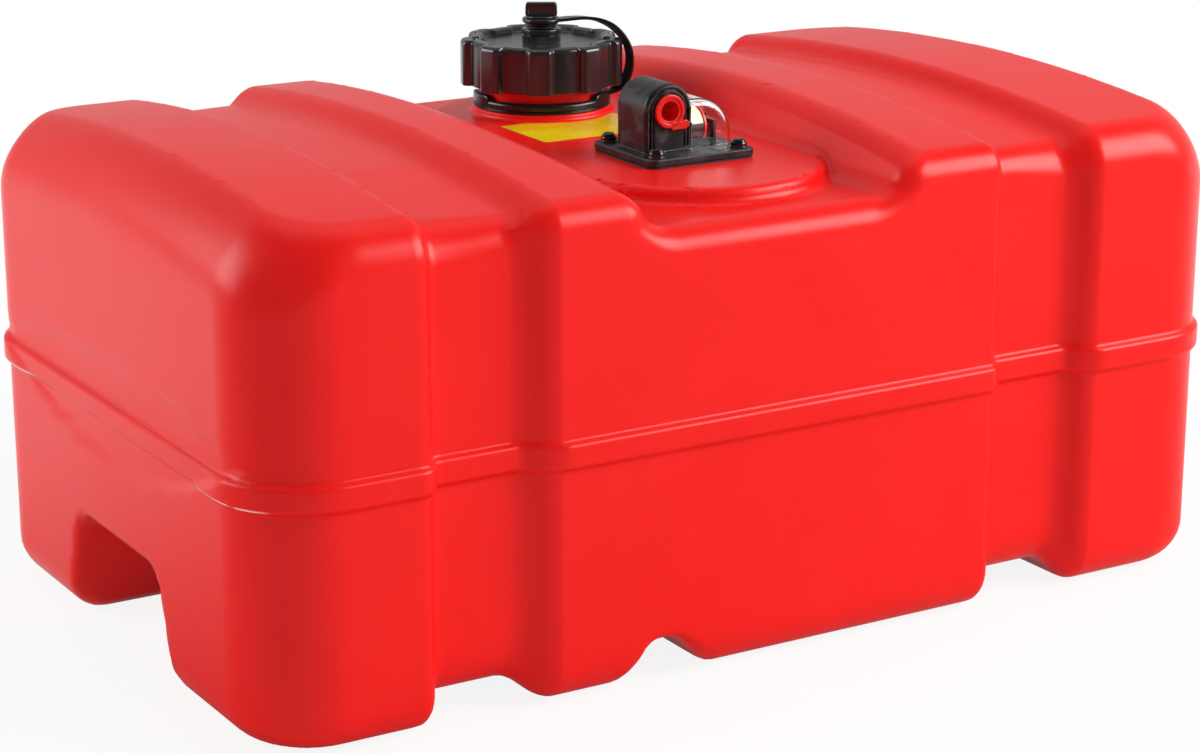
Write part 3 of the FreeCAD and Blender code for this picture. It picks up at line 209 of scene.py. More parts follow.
def outline(look, *corners):
    # (out, up, radius) corners, in which a name stands for that value of the look
    return [[look.get(value, value) for value in corner] for corner in corners]

def gridPart(points, normals, closed):
    # A grid of points as faces. Its second direction is always closed; an open first one ends in flat faces.
    rows, columns = points.shape[:2]
    index = np.arange(rows * columns).reshape(rows, columns)
    upper = np.roll(index, -1, 0) if closed else index[1:]
    lower = index if closed else index[:-1]
    quads = np.stack([lower, np.roll(lower, -1, 1), np.roll(upper, -1, 1), upper], 2).reshape(-1, 4)
    flat, slopes = points.reshape(-1, 3), normals.reshape(-1, 3)
    across = np.cross(flat[quads[:, 2]] - flat[quads[:, 0]], flat[quads[:, 3]] - flat[quads[:, 1]])
    turned = (across * slopes[quads[:, 0]]).sum() < 0
    faces = list(quads[:, ::-1] if turned else quads)
    if not closed:
        faces += [index[0] if turned else index[0][::-1], index[-1][::-1] if turned else index[-1]]
    return flat, faces, slopes

def turnedPart(corners, closed=False, angles=96, shift=None, steps=4):
    # An outline carried round the Z axis. shift gives the change of radius for each radius, height and
    # angle, and the normal leans by the shift's slope round the axis.
    line, heads = softened(corners, steps)
    if not closed:
        line, heads = line[1:-1], heads[1:-1]
    around = np.arange(angles) * 2 * math.pi / angles if np.isscalar(angles) else angles
    out, up = line[:, :1], line[:, 1:]
    radius = out + 0 * around
    slope = 0 * radius
    if shift is not None:
        radius = out + shift(out, up, around)
        slope = (shift(out, up, around + 0.001) - shift(out, up, around - 0.001)) / 0.002 / radius
    points = np.stack([radius * np.cos(around), radius * np.sin(around), up + 0 * around], 2)
    outward = heads[:, 1:] + 0 * around
    side = -slope * outward
    normals = np.stack([outward * np.cos(around) - side * np.sin(around),
                        outward * np.sin(around) + side * np.cos(around), -heads[:, :1] + 0 * around], 2)
    area = (line[:, 0] * np.roll(line[:, 1], -1) - np.roll(line[:, 0], -1) * line[:, 1]).sum()
    return gridPart(points, normals if area > 0 else -normals, closed)

# Finishes

def socketGroup(name, inputs, outputs):
    # inputs gives each number's default, and outputs each result's kind
    group = bpy.data.node_groups.new(name, "ShaderNodeTree")
    for label, default in inputs.items():
        socket = group.interface.new_socket(label, in_out="INPUT", socket_type="NodeSocketFloat")
        socket.default_value = default
    for label, kind in outputs.items():
        group.interface.new_socket(label, in_out="OUTPUT", socket_type="NodeSocket" + kind)
    return group, group.nodes.new("NodeGroupInput"), group.nodes.new("NodeGroupOutput")

def addNode(tree, kind, links=None, **settings):
    # settings set a property where the node has one, or else the input of that name
    node = tree.nodes.new(kind)
    for key, value in settings.items():
        if hasattr(node, key):
            setattr(node, key, value)
        else:
            node.inputs[key.replace("_", " ")].default_value = value
    for target, source in (links or {}).items():
        tree.links.new(source, node.inputs[target])
    return node

def feed(tree, node, **sources):
    # joins each source to the node's input of that name
    for key, source in sources.items():
        tree.links.new(source, node.inputs[key.replace("_", " ")])

def give(tree, slot, value):
    # a socket is joined to the slot, and a number or colour becomes its value
    if isinstance(value, bpy.types.NodeSocket):
        tree.links.new(value, slot)
    else:
        slot.default_value = value

def sums(tree, operation, first, second=0.0, third=0.0):
    # one Math node
    node = addNode(tree, "ShaderNodeMath", operation=operation)
    for slot, value in zip(node.inputs, (first, second, third)):
        give(tree, slot, value)
    return node.outputs[0]

def ramp(tree, value, start, end, low=0.0, high=1.0):
    # low before start, high after end, smooth between
    return addNode(tree, "ShaderNodeMapRange", {"Value": value}, interpolation_type="SMOOTHSTEP",
                   From_Min=start, From_Max=end, To_Min=low, To_Max=high).outputs[0]

def objectPlace(tree):
    return addNode(tree, "ShaderNodeTexCoord").outputs["Object"]

def placeParts(tree):
    return addNode(tree, "ShaderNodeSeparateXYZ", {"Vector": objectPlace(tree)}).outputs

def noise(tree, scale, detail=2.0, stretch=(1, 1, 1), **settings):
    place = addNode(tree, "ShaderNodeMapping", {"Vector": objectPlace(tree)}, Scale=stretch)
    return addNode(tree, "ShaderNodeTexNoise", {"Vector": place.outputs[0]}, Scale=scale, Detail=detail,
                   **settings).outputs["Fac"]

def mixColors(tree, factor, first, second):
    # first and second are colours or sockets
    mix = tree.nodes.new("ShaderNodeMix")
    mix.data_type = "RGBA"
    tree.links.new(factor, mix.inputs["Factor"])
    for slot, value in ((mix.inputs[6], first), (mix.inputs[7], second)):
        give(tree, slot, (*value, 1) if isinstance(value, tuple) else value)
    return mix.outputs[2]

def mouldedGrain():
    # fine grain and slow waviness as a normal, with patches of roughness and of tone
    tree, given, out = socketGroup(
        "mouldedGrain",
        {"Grain size": 1500, "Grain depth": 0.1, "Wave depth": 0.1, "Roughness": 0.4, "Unevenness": 0.08},
        {"Normal": "Vector", "Roughness": "Float", "Mottle": "Float"})
    place = objectPlace(tree)
    size, depth, waveDepth = (given.outputs[label] for label in ("Grain size", "Grain depth", "Wave depth"))
    grain = addNode(tree, "ShaderNodeTexNoise", {"Vector": place, "Scale": size}, Detail=2.0)
    wave = addNode(tree, "ShaderNodeTexNoise", {"Vector": place}, Scale=9.0, Detail=1.0)
    patch = addNode(tree, "ShaderNodeTexNoise", {"Vector": place}, Scale=22.0, Detail=4.0)
    slow = addNode(tree, "ShaderNodeBump", {"Height": wave.outputs["Fac"], "Strength": waveDepth},
                   Distance=0.02)
    fine = addNode(tree, "ShaderNodeBump", {"Height": grain.outputs["Fac"], "Strength": depth,
                                            "Normal": slow.outputs["Normal"]}, Distance=0.0006)
    centred = sums(tree, "SUBTRACT", patch.outputs["Fac"], 0.5)
    uneven = sums(tree, "MULTIPLY_ADD", centred, given.outputs["Unevenness"], given.outputs["Roughness"])
    feed(tree, out, Normal=fine.outputs["Normal"], Roughness=uneven, Mottle=patch.outputs["Fac"])
    return tree

def rubbedEdges():
    # a mask of the outer edges, broken up by noise, for plastic that handling has greyed
    tree, given, out = socketGroup("rubbedEdges", {"Start": 0.52, "Amount": 0.6}, {"Mask": "Float"})
    sharp = addNode(tree, "ShaderNodeNewGeometry").outputs["Pointiness"]
    above = sums(tree, "MULTIPLY", sums(tree, "SUBTRACT", sharp, given.outputs["Start"]), 12.0)
    broken = ramp(tree, noise(tree, 340, 5.0), 0.38, 0.62)
    edge = sums(tree, "MINIMUM", sums(tree, "MAXIMUM", above, 0.0), 1.0)
    worn = sums(tree, "MULTIPLY", sums(tree, "MULTIPLY", edge, broken), given.outputs["Amount"])
    feed(tree, out, Mask=worn)
    return tree

grainGroup = mouldedGrain()
edgeGroup = rubbedEdges()

def startMaterial(name, **principled):
    material = bpy.data.materials.new(name)
    material.use_nodes = True
    shader = material.node_tree.nodes["Principled BSDF"]
    for key, value in principled.items():
        shader.inputs[key.replace("_", " ")].default_value = value
    return material, material.node_tree, shader

def useGroup(tree, group, **values):
    return addNode(tree, "ShaderNodeGroup", node_tree=group, **values).outputs

def addGrain(tree, shader, size, depth, wave, roughness, uneven):
    # the shared grain, wired to a shader's normal and roughness
    grain = useGroup(tree, grainGroup, Grain_size=size, Grain_depth=depth, Wave_depth=wave,
                     Roughness=roughness, Unevenness=uneven)
    feed(tree, shader, Normal=grain["Normal"], Roughness=grain["Roughness"])
    return grain["Mottle"]

def addBump(tree, shader, height, strength, distance):
    # a height as the shader's normal
    bump = addNode(tree, "ShaderNodeBump", {"Height": height}, Strength=strength, Distance=distance)
    feed(tree, shader, Normal=bump.outputs["Normal"])

def plainFinish(name, color, other, roughness, size=1400, depth=0.15, wave=0.05, uneven=0.12, rubbed=None,
                **principled):
    # a moulded or coated finish in two close tones; rubbed is the colour of its worn outer edges
    material, tree, shader = startMaterial(name, **principled)
    mottle = addGrain(tree, shader, size, depth, wave, roughness, uneven)
    tone = mixColors(tree, mottle, other, color)
    if rubbed:
        tone = mixColors(tree, useGroup(tree, edgeGroup)["Mask"], tone, rubbed)
    feed(tree, shader, Base_Color=tone)
    return material

redPlastic = {
    "color": (0.90, 0.010, 0.008), "deep": (0.82, 0.008, 0.006), "roughness": 0.31,
    "flash": (0.9, 0.62, 0.55), "flashHeight": 0.1232, "flashWidth": 0.0008, "flashWander": 0.0016,
    "flashEnd": (-0.284, -0.277),
}

def tankFinish():
    # satin red, with a thin broken line of pale flash under the seam at the near end
    r = redPlastic
    material, tree, shader = startMaterial(
        "redPolyethylene", Subsurface_Weight=0.06, Subsurface_Scale=0.004,
        Subsurface_Radius=(1.0, 0.12, 0.08), Specular_IOR_Level=0.28)
    mottle = addGrain(tree, shader, 1500, 0.12, 0.05, r["roughness"], 0.10)
    body = mixColors(tree, mottle, r["deep"], r["color"])
    spot = placeParts(tree)
    shifted = sums(tree, "MULTIPLY_ADD", noise(tree, 45, 3.0), r["flashWander"], spot["Z"])
    away = sums(tree, "ABSOLUTE", sums(tree, "SUBTRACT", shifted, r["flashHeight"] + r["flashWander"] / 2))
    line = ramp(tree, away, r["flashWidth"] * 0.4, r["flashWidth"], 1.0, 0.0)
    near = ramp(tree, spot["X"], *r["flashEnd"], 1.0, 0.0)
    here = ramp(tree, noise(tree, 120, 3.0), 0.36, 0.5)
    mask = sums(tree, "MULTIPLY", sums(tree, "MULTIPLY", line, near), here)
    feed(tree, shader, Base_Color=mixColors(tree, mask, body, r["flash"]))
    return material

def makeHousingFinish():
    # black moulding with grey cloudy patches, partly dust bloom and partly a painted reflection, glossier
    # outside the patches, and rubbed edges
    material, tree, shader = startMaterial("dustAndSheenBlackMoulding", Specular_IOR_Level=0.36)
    mottle = addGrain(tree, shader, 1700, 0.2, 0.05, 0.4, 0.2)
    black = mixColors(tree, mottle, (0.005, 0.005, 0.006), (0.012, 0.011, 0.013))
    # the grey patches are partly dust bloom and partly a painted reflection on the black
    cloud = ramp(tree, noise(tree, 95, 4.0, Distortion=0.8), 0.46, 0.68)
    dustAndSheen = mixColors(tree, sums(tree, "MULTIPLY", cloud, 0.5), black, (0.085, 0.072, 0.08))
    edge = useGroup(tree, edgeGroup, Amount=0.6)["Mask"]
    feed(tree, shader, Base_Color=mixColors(tree, edge, dustAndSheen, (0.13, 0.12, 0.13)))
    feed(tree, shader, Roughness=ramp(tree, cloud, 0, 1, 0.3, 0.6))
    return material

def makeLensFinish():
    # clear plastic; rays from lamps pass straight through, so that the movement behind it is lit
    material, tree, shader = startMaterial(
        "clearCover", Base_Color=(0.97, 0.98, 0.98, 1), Transmission_Weight=1.0, IOR=1.49, Roughness=0.02)
    addBump(tree, shader, noise(tree, 60, 1.0), 0.04, 0.002)
    clear = tree.nodes.new("ShaderNodeBsdfTransparent")
    shadow = tree.nodes.new("ShaderNodeLightPath").outputs["Is Shadow Ray"]
    choice = addNode(tree, "ShaderNodeMixShader", {0: shadow, 1: shader.outputs[0], 2: clear.outputs[0]})
    feed(tree, tree.nodes["Material Output"], Surface=choice.outputs[0])
    return material

drumLook = {"darkBelow": 0.2572, "rimStart": 0.0158, "rimEnd": 0.0172, "blur": 0.0002}

def makeDrumFinish():
    # cream, black at the bottom of its turn and past its far rim, with a red ring on the rim
    d = drumLook
    material, tree, shader = startMaterial("drumEnamel")
    mottle = addGrain(tree, shader, 900, 0.1, 0.0, 0.35, 0.08)
    cream = mixColors(tree, mottle, (0.68, 0.60, 0.40), (0.78, 0.70, 0.50))
    spot = placeParts(tree)
    low = ramp(tree, spot["Z"], d["darkBelow"] - d["blur"], d["darkBelow"] + d["blur"], 1.0, 0.0)
    dark = sums(tree, "MAXIMUM", low, ramp(tree, spot["X"], d["rimEnd"], d["rimEnd"] + d["blur"]))
    marked = mixColors(tree, dark, cream, (0.02, 0.02, 0.022))
    middle, half = (d["rimStart"] + d["rimEnd"]) / 2, (d["rimEnd"] - d["rimStart"]) / 2
    fromMiddle = sums(tree, "ABSOLUTE", sums(tree, "SUBTRACT", spot["X"], middle))
    ring = ramp(tree, fromMiddle, half - d["blur"] / 2, half + d["blur"] / 2, 1.0, 0.0)
    feed(tree, shader, Base_Color=mixColors(tree, ring, marked, (0.62, 0.02, 0.015)))
    return material

def makeLabelFinish():
    # bare yellow film with a golden mottle and faint creases
    material, tree, shader = startMaterial("yellowFilm", Specular_IOR_Level=0.3)
    flecks = ramp(tree, noise(tree, 420, 4.0), 0.45, 0.65)
    wide = ramp(tree, noise(tree, 30, 2.0), 0.35, 0.65)
    yellow = mixColors(tree, wide, (0.84, 0.53, 0.006), (0.95, 0.70, 0.010))
    gold = mixColors(tree, sums(tree, "MULTIPLY", flecks, 0.35), yellow, (0.5, 0.3, 0.01))
    addBump(tree, shader, noise(tree, 85, 3.0), 0.3, 0.0006)
    feed(tree, shader, Base_Color=gold, Roughness=ramp(tree, flecks, 0.0, 1.0, 0.2, 0.34))
    return material

def makeFoamFinish():
    # closed cells: small round dents all over black rubber
    material, tree, shader = startMaterial("floatRubber")
    foam = addNode(tree, "ShaderNodeTexVoronoi", {"Vector": objectPlace(tree)}, Scale=700)
    cells = foam.outputs["Distance"]
    addBump(tree, shader, cells, 0.5, 0.0008)
    black = mixColors(tree, cells, (0.012, 0.012, 0.013), (0.045, 0.043, 0.04))
    feed(tree, shader, Base_Color=black, Roughness=ramp(tree, cells, 0.0, 0.7, 0.9, 0.65))
    return material

def makeMeshFinish():
    # fine woven mesh: two sets of threads as ridges
    material, tree, shader = startMaterial("strainerMesh")
    spot = placeParts(tree)
    sets = [sums(tree, "ABSOLUTE", sums(tree, "SINE", sums(tree, "MULTIPLY", value, 5200)))
            for value in (spot["Z"], sums(tree, "ADD", spot["X"], spot["Y"]))]
    weave = sums(tree, "MAXIMUM", *sets)
    addBump(tree, shader, weave, 0.7, 0.0006)
    thread = mixColors(tree, weave, (0.004, 0.004, 0.004), (0.05, 0.05, 0.05))
    feed(tree, shader, Base_Color=thread, Roughness=ramp(tree, weave, 0, 1, 0.8, 0.5))
    return material

def makeDrawnFinish(name, color, other, roughness, along):
    # metal with fine lines drawn along one direction, whose stretch is smallest along it
    material, tree, shader = startMaterial(name, Metallic=1.0)
    lines = noise(tree, 900, 3.0, stretch=along)
    addBump(tree, shader, lines, 0.15, 0.0003)
    feed(tree, shader, Base_Color=mixColors(tree, lines, other, color))
    uneven = ramp(tree, lines, 0.3, 0.7, roughness - 0.08, roughness + 0.1)
    feed(tree, shader, Roughness=uneven)
    return material

capFinish = plainFinish(
    "blackCapMoulding", (0.022, 0.020, 0.023), (0.014, 0.013, 0.015), 0.2, size=1600, depth=0.12,
    rubbed=(0.08, 0.08, 0.08), Specular_IOR_Level=0.75)
tetherFinish = plainFinish(
    "blackTetherMoulding", (0.012, 0.012, 0.012), (0.006, 0.006, 0.007), 0.24, depth=0.06,
    rubbed=(0.05, 0.05, 0.05))
housingFinish = makeHousingFinish()
lensFinish = makeLensFinish()
plugFinish = plainFinish(
    "redPlugMoulding", (0.80, 0.016, 0.010), (0.72, 0.011, 0.008), 0.26, depth=0.06,
    Subsurface_Weight=0.15, Subsurface_Scale=0.002)
screwFinish = plainFinish(
    "blackScrewCoat", (0.006, 0.006, 0.006), (0.004, 0.004, 0.005), 0.11, size=2500, depth=0.05, uneven=0.1,
    Specular_IOR_Level=0.7)
sealFinish = plainFinish(
    "blackSealRubber", (0.022, 0.022, 0.022), (0.013, 0.013, 0.014), 0.62, size=1200, depth=0.3)
movementFinish = plainFinish(
    "paleMovementMoulding", (0.74, 0.72, 0.64), (0.62, 0.60, 0.52), 0.42, depth=0.1)
filmFinish = makeLabelFinish()
frameFinish = plainFinish(
    "blackMovementFrame", (0.020, 0.020, 0.021), (0.012, 0.012, 0.013), 0.4, depth=0.1)
tubeFinish = plainFinish(
    "paleTubeMoulding", (0.72, 0.71, 0.64), (0.64, 0.62, 0.54), 0.38, depth=0.08,
    Subsurface_Weight=0.2, Subsurface_Scale=0.003)
steelFinish = makeDrawnFinish("drawnSteelWire", (0.62, 0.61, 0.60), (0.45, 0.44, 0.43), 0.3, (1, 1, 0.08))
clipFinish = makeDrawnFinish("springSteel", (0.58, 0.57, 0.55), (0.36, 0.35, 0.34), 0.36, (0.1, 1, 1))
brassFinish = makeDrawnFinish("turnedBrass", (0.78, 0.56, 0.24), (0.60, 0.42, 0.16), 0.32, (1, 1, 0.1))
print("finishes made")

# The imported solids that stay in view, with their finishes

nodeFinishes = {
    "cap_gasket": sealFinish, "vent_seal": sealFinish, "gauge_gasket": sealFinish,
    "gauge_bracket": frameFinish, "sector_gear": movementFinish, "indicator_drum": makeDrumFinish(),
    "drum_pin": steelFinish, "sector_pin": steelFinish, "float_arm": steelFinish, "float_clips": clipFinish,
    "float_body": makeFoamFinish(), "pickup_tube": tubeFinish, "pickup_strainer": makeMeshFinish(),
    "screw_inserts": brassFinish,
}

# Tank

tank = {
    "halfLength": 289, "halfWidth": 177, "cornerRadius": 45, "crown": 263, "crownRadius": 1250,
    "ribRounding": 13, "sideRounding": 19, "endRounding": 40, "bottomRounding": 22,
    "sideStretch": (140, 190), "endStretch": (232, 280),     # where the top edge's rounding grows
    "bands": [{"start": -200, "end": -134, "startLean": 0.3, "endLean": 1.15},
              {"start": 130, "end": 194, "startLean": 0.35, "endLean": 0.8}],
    "bandDepth": 12, "bandTopDepth": 8.5, "bandRim": 4.5, "bandCorner": 5, "bandReach": 245,
    "seamLow": 122, "seamHigh": 135.5, "seamProud": 3, "seamRounding": 2.6, "seamFoot": 2,
    "deck": 232, "deckFoot": (-76, 64), "deckLean": 30, "deckRim": 8.5, "deckEdge": 14, "deckCorner": 8,
    "padTop": 240.5, "padMiddle": (4, -8), "padHalf": (68, 140), "padCorner": 67.5, "padRounding": 3.5,
    "padFoot": 5, "padRoot": 212,
    "mouthMiddle": (4, -62), "mouthHalf": (24, 20), "mouthCorner": 5, "neckHole": 31, "holeFloor": 205,
    "hollowMiddle": (22, 38), "hollowHalf": (48, 124.5), "hollowCorner": 8, "hollowLow": 9,
    "hollowHigh": 227,
    "holdRoof": 61, "holdDepth": 72, "holdRoofHalf": 49, "holdFootHalf": 66, "holdRim": 7,
    "holdCorner": 12, "holdRoofRounding": 9,
    "strapFoot": (-93, -40), "strapRoof": (-79, -63), "strapHeight": 24, "strapRim": 5, "strapCorner": 4,
    "dishDepth": 1.5, "dishReach": (270, 284),
    "dishCircles": [(-7.5, -634, 792), (0, 429, 327)],       # middle's y and z, and radius
}

def upright(x, y, z, inset, topInset):
    # the plain rounded form: a round-cornered plan, a crowned top and a rounded foot
    t = tank
    plan = rectangle(x, y, t["halfLength"] - inset, t["halfWidth"] - inset, t["cornerRadius"])
    roof = z - (t["crown"] - topInset - y ** 2 / (2 * t["crownRadius"]))
    radius = t["ribRounding"] + (t["sideRounding"] - t["ribRounding"]) * rise(np.abs(x), *t["sideStretch"])
    radius = radius + (t["endRounding"] - t["sideRounding"]) * rise(np.abs(x), *t["endStretch"])
    return roundedBoth(roundedBoth(plan, roof, radius), inset - z, t["bottomRounding"])

def endDish(x, y, z):
    # depth of the lens-shaped dish round the seam on the near end: inside two large circles
    t = tank
    inside = [radius - np.hypot(y - middleY, z - middleZ) for middleY, middleZ, radius in t["dishCircles"]]
    return t["dishDepth"] * rise(np.minimum(*inside), -2, 5) * rise(-x, *t["dishReach"])

def moulding(x, y, z):
    # the outer form with its bands, before seam, well and notches
    t = tank
    outer = upright(x, y, z, 0, 0)
    blocks = outer
    for band in t["bands"]:
        gap = np.minimum(x - band["start"] + band["startLean"] * outer,
                         band["end"] - x + band["endLean"] * outer)
        blocks = roundedBoth(blocks, gap, t["bandRim"])
    inner = np.maximum(upright(x, y, z, t["bandDepth"], t["bandTopDepth"]), np.abs(x) - t["bandReach"])
    return roundedEither(inner, blocks, t["bandCorner"])

def well(x, y, z):
    # the space above the deck between the two ribs, whose walls lean outwards
    t = tank
    lean = math.radians(t["deckLean"])
    low, high = t["deckFoot"]
    walls = np.maximum(low - x, x - high) * math.cos(lean) - (z - t["deck"]) * math.sin(lean)
    return roundedBoth(t["deck"] - z, walls, t["deckCorner"])

def handHold(x, y, z):
    # the finger hollow under both ends, with leaning sides
    t = tank
    lean = (t["holdFootHalf"] - t["holdRoofHalf"]) / t["holdRoof"]
    sides = (np.abs(y) - t["holdFootHalf"] + lean * z) / math.hypot(1, lean)
    back = t["halfLength"] - t["holdDepth"] - np.abs(x)
    return roundedBoth(roundedBoth(sides, back, t["holdCorner"]), z - t["holdRoof"], t["holdRoofRounding"])

def strapNotch(x, y, z):
    # the groove across the underside, with leaning sides
    t = tank
    leans = [(roof - foot) / t["strapHeight"] for foot, roof in zip(t["strapFoot"], t["strapRoof"])]
    near = (t["strapFoot"][0] + leans[0] * z - x) / math.hypot(1, leans[0])
    far = (x - t["strapFoot"][1] - leans[1] * z) / math.hypot(1, leans[1])
    return roundedBoth(np.maximum(near, far), z - t["strapHeight"], t["strapCorner"])

def tankField(x, y, z):
    # the moulding less the well, with pad and seam added, then the inside and the notches taken out
    t = tank
    form = moulding(x, y, z)
    edge = t["deckRim"] + (t["deckEdge"] - t["deckRim"]) * rise(t["deck"] + 14 - z, 0, 12)
    form = roundedAway(form, well(x, y, z), edge)
    seam = roundedBoth(form - t["seamProud"], between(z, t["seamLow"], t["seamHigh"]), t["seamRounding"])
    pad = plate(x, y, t["padMiddle"], t["padHalf"], t["padCorner"])
    pad = roundedBoth(roundedBoth(pad, z - t["padTop"], t["padRounding"]), t["padRoot"] - z, 1)
    form = roundedEither(roundedEither(form, pad, t["padFoot"]), seam, t["seamFoot"])
    mouth = plate(x, y, t["mouthMiddle"], t["mouthHalf"], t["mouthCorner"])
    neckHole = np.hypot(x - filler["middle"][0], y - filler["middle"][1]) - t["neckHole"]
    form = cutAway(form, np.maximum(np.minimum(mouth, neckHole), t["holeFloor"] - z))
    hollow = plate(x, y, t["hollowMiddle"], t["hollowHalf"], t["hollowCorner"])
    form = cutAway(form, np.maximum(hollow, between(z, t["hollowLow"], t["hollowHigh"])))
    form = roundedAway(form, handHold(x, y, z), t["holdRim"])
    form = roundedAway(form, strapNotch(x, y, z), t["strapRim"])
    return form + endDish(x, y, z)

def makeTank():
    # grid lines lie closest where the form bends most
    xs = spread((-296, -240, 3), (-240, -204, 5), (-204, -192, 2.2), (-192, -154, 5), (-154, -128, 2.6),
                (-128, -66, 3.6), (-66, 60, 4.6), (60, 110, 3.6), (110, 126, 4), (126, 138, 2.2),
                (138, 176, 5), (176, 200, 2.4), (200, 240, 5), (240, 296, 3))
    half = spread((0, 140, 5), (140, 158, 3.4), (158, 184, 2.3))
    ys = np.concatenate([-half[:0:-1], half])
    zs = spread((-3, 30, 2.6), (30, 54, 5), (54, 66, 2.8), (66, 117, 6), (117, 140, 1.5), (140, 215, 5.5),
                (215, 268, 2.5))
    part = skinOf(tankField, xs, ys, zs)
    return makePiece("tankMoulding", "tank", "tank_shell", "tank_red", tankFinish(), part, neckPart())

# Filler neck

neck = {"bore": 29, "outside": 33.5, "top": 275, "seat": 38.7, "seatTop": 244.6, "foot": 240.45, "root": 233}

def neckPart():
    # a tube on a low round seat that flares at its foot
    n = neck
    turned = turnedPart(outline(
        n, ("bore", "root", 0.3), (n["seat"] + 3.5, "root", 0.3), (n["seat"] + 3.4, "foot", 0.05),
        (n["seat"] + 0.2, n["foot"] + 0.1, 2.6), ("seat", "seatTop", 1.5), ("outside", "seatTop", 1.2),
        ("outside", "top", 1.2), ("bore", "top", 0.8)), closed=True, angles=144, steps=6)
    return movedPart(turned, filler["middle"])

# Filler cap

filler = {
    "middle": (4, 75, 0), "lobeRadius": 45, "waistRadius": 40.8, "lobes": 9, "firstLobe": 239,
    "bottom": 256.3, "midway": 268, "top": 281.5, "rim": 2.8, "skirtBore": 33.95, "ceiling": 277.0,
    "foot": 39.6, "rimInside": 39.4, "step": 37.4, "slope": 35.4, "dishRadius": 33, "dish": 278.2,
    "topFade": (33, 39), "bossRadius": 10.8, "bossTop": 286.5, "ribTop": 282.6, "ribRadius": 10.4,
    "ribInside": 9.9, "lipOut": 8.8, "lipIn": 8.3, "boreRadius": 5.9, "boreFloor": 280.0, "airHole": 1.5,
    "lobeHalf": 9.6, "lobeCorner": 3.6, "ribs": 48, "ribDepth": 0.2,
}

def capShift(out, up, around):
    # Change of radius round the cap: none over a lobe, a quarter circle down to its flank, a steep flank,
    # and the waist; it fades out over the top. On the boss it is a cosine that makes small ribs.
    f = filler
    pitch = 360 / f["lobes"]
    away = np.abs((np.degrees(around) - f["firstLobe"] + pitch / 2) % pitch - pitch / 2)
    past = (away - f["lobeHalf"]) * math.radians(1) * f["lobeRadius"] + f["lobeCorner"]
    share = np.clip(past / f["lobeCorner"], 0, 1)
    corner = f["lobeCorner"] * (1 - np.sqrt(1 - share ** 2))
    depth = f["lobeRadius"] - f["waistRadius"]
    flank = rise(past, f["lobeCorner"] * 0.9, f["lobeCorner"] + 0.9)
    drop = corner + (depth - corner) * flank
    onBoss = (out > f["ribInside"]) & (out < 11) & (up < f["ribTop"])
    return f["ribDepth"] * np.cos(around * f["ribs"]) * onBoss - drop * rise(out, *f["topFade"])

def makeCap():
    f = filler
    body = turnedPart(outline(
        f, ("airHole", "ceiling", 0.2), ("skirtBore", "ceiling", 0.8), ("skirtBore", "bottom", 0.4),
        ("foot", "bottom", 0), ("lobeRadius", "bottom", 0.5), ("lobeRadius", "midway", 0),
        ("lobeRadius", "top", f["rim"]), ("rimInside", "top", 0.8), ("step", f["top"] - 0.9, 0.6),
        ("slope", f["dish"] + 0.1, 2.0), ("dishRadius", "dish", 0), ("ribRadius", "dish", 0.25),
        ("ribRadius", "ribTop", 0.2), ("ribInside", f["ribTop"] + 0.2, 0.15),
        ("ribInside", f["ribTop"] + 0.7, 0.15), ("bossRadius", f["ribTop"] + 0.9, 0.3),
        ("bossRadius", "bossTop", 0.7), ("lipOut", "bossTop", 0.2), ("lipIn", f["bossTop"] - 0.5, 0.2),
        ("boreRadius", f["bossTop"] - 0.5, 0.3), ("boreRadius", "boreFloor", 0.3),
        ("airHole", "boreFloor", 0.2)), closed=True, angles=720, shift=capShift, steps=5)
    return makePiece("fillerCap", "cap", "filler_cap", "cap_black", capFinish, movedPart(body, f["middle"]))

# Vent screw

vent = {
    "stem": 5.8, "foot": 280.25, "disc": 7.9, "discLow": 288.5, "discHigh": 289.4,
    "collar": 8.4, "collarLow": 292.5, "collarHigh": 293.4,
    "tabHalf": 8.9, "tabThick": 4.6, "tabLow": 292.8, "tabHigh": 300.6, "tabTaper": 0.035, "panelDepth": 0.55,
    "turn": -31,
}

def tabField(x, y, z):
    # a thumb tab with round upper corners and a shallow panel sunk into both faces
    v = vent
    middle, half = (v["tabHigh"] + v["tabLow"]) / 2, (v["tabHigh"] - v["tabLow"]) / 2
    face = rectangle(x, z - middle, v["tabHalf"] - v["tabTaper"] * (z - v["tabLow"]), half, 1.7)
    block = roundedBoth(face, np.abs(y) - v["tabThick"] / 2, 0.6)
    panel = rectangle(x, z - middle - 0.1, v["tabHalf"] - 1.9, half - 1.7, 0.8)
    return roundedAway(block, roundedBoth(panel, v["tabThick"] / 2 - v["panelDepth"] - np.abs(y), 0.1), 0.25)

def makeVentScrew():
    v = vent
    stem = turnedPart(outline(
        v, (2, "foot", 0), ("stem", "foot", 0.4), ("stem", "discLow", 0.2), ("disc", "discLow", 0.3),
        ("disc", "discHigh", 0.4), ("stem", "discHigh", 0.2), ("stem", "collarLow", 0.2),
        ("collar", "collarLow", 0.3), ("collar", "collarHigh", 0.45), (2, "collarHigh", 0)), steps=3)
    tab = skinOf(tabField, spread((-9.6, 9.6, 0.3)), spread((-2.7, 2.7, 0.3)), spread((292.4, 301, 0.3)))
    return makePiece("ventScrew", "vent", "vent_screw", "cap_black", capFinish,
                     movedPart(stem, filler["middle"]), movedPart(tab, filler["middle"], turnedBy(v["turn"])))

# Cap tether, one flexible moulding

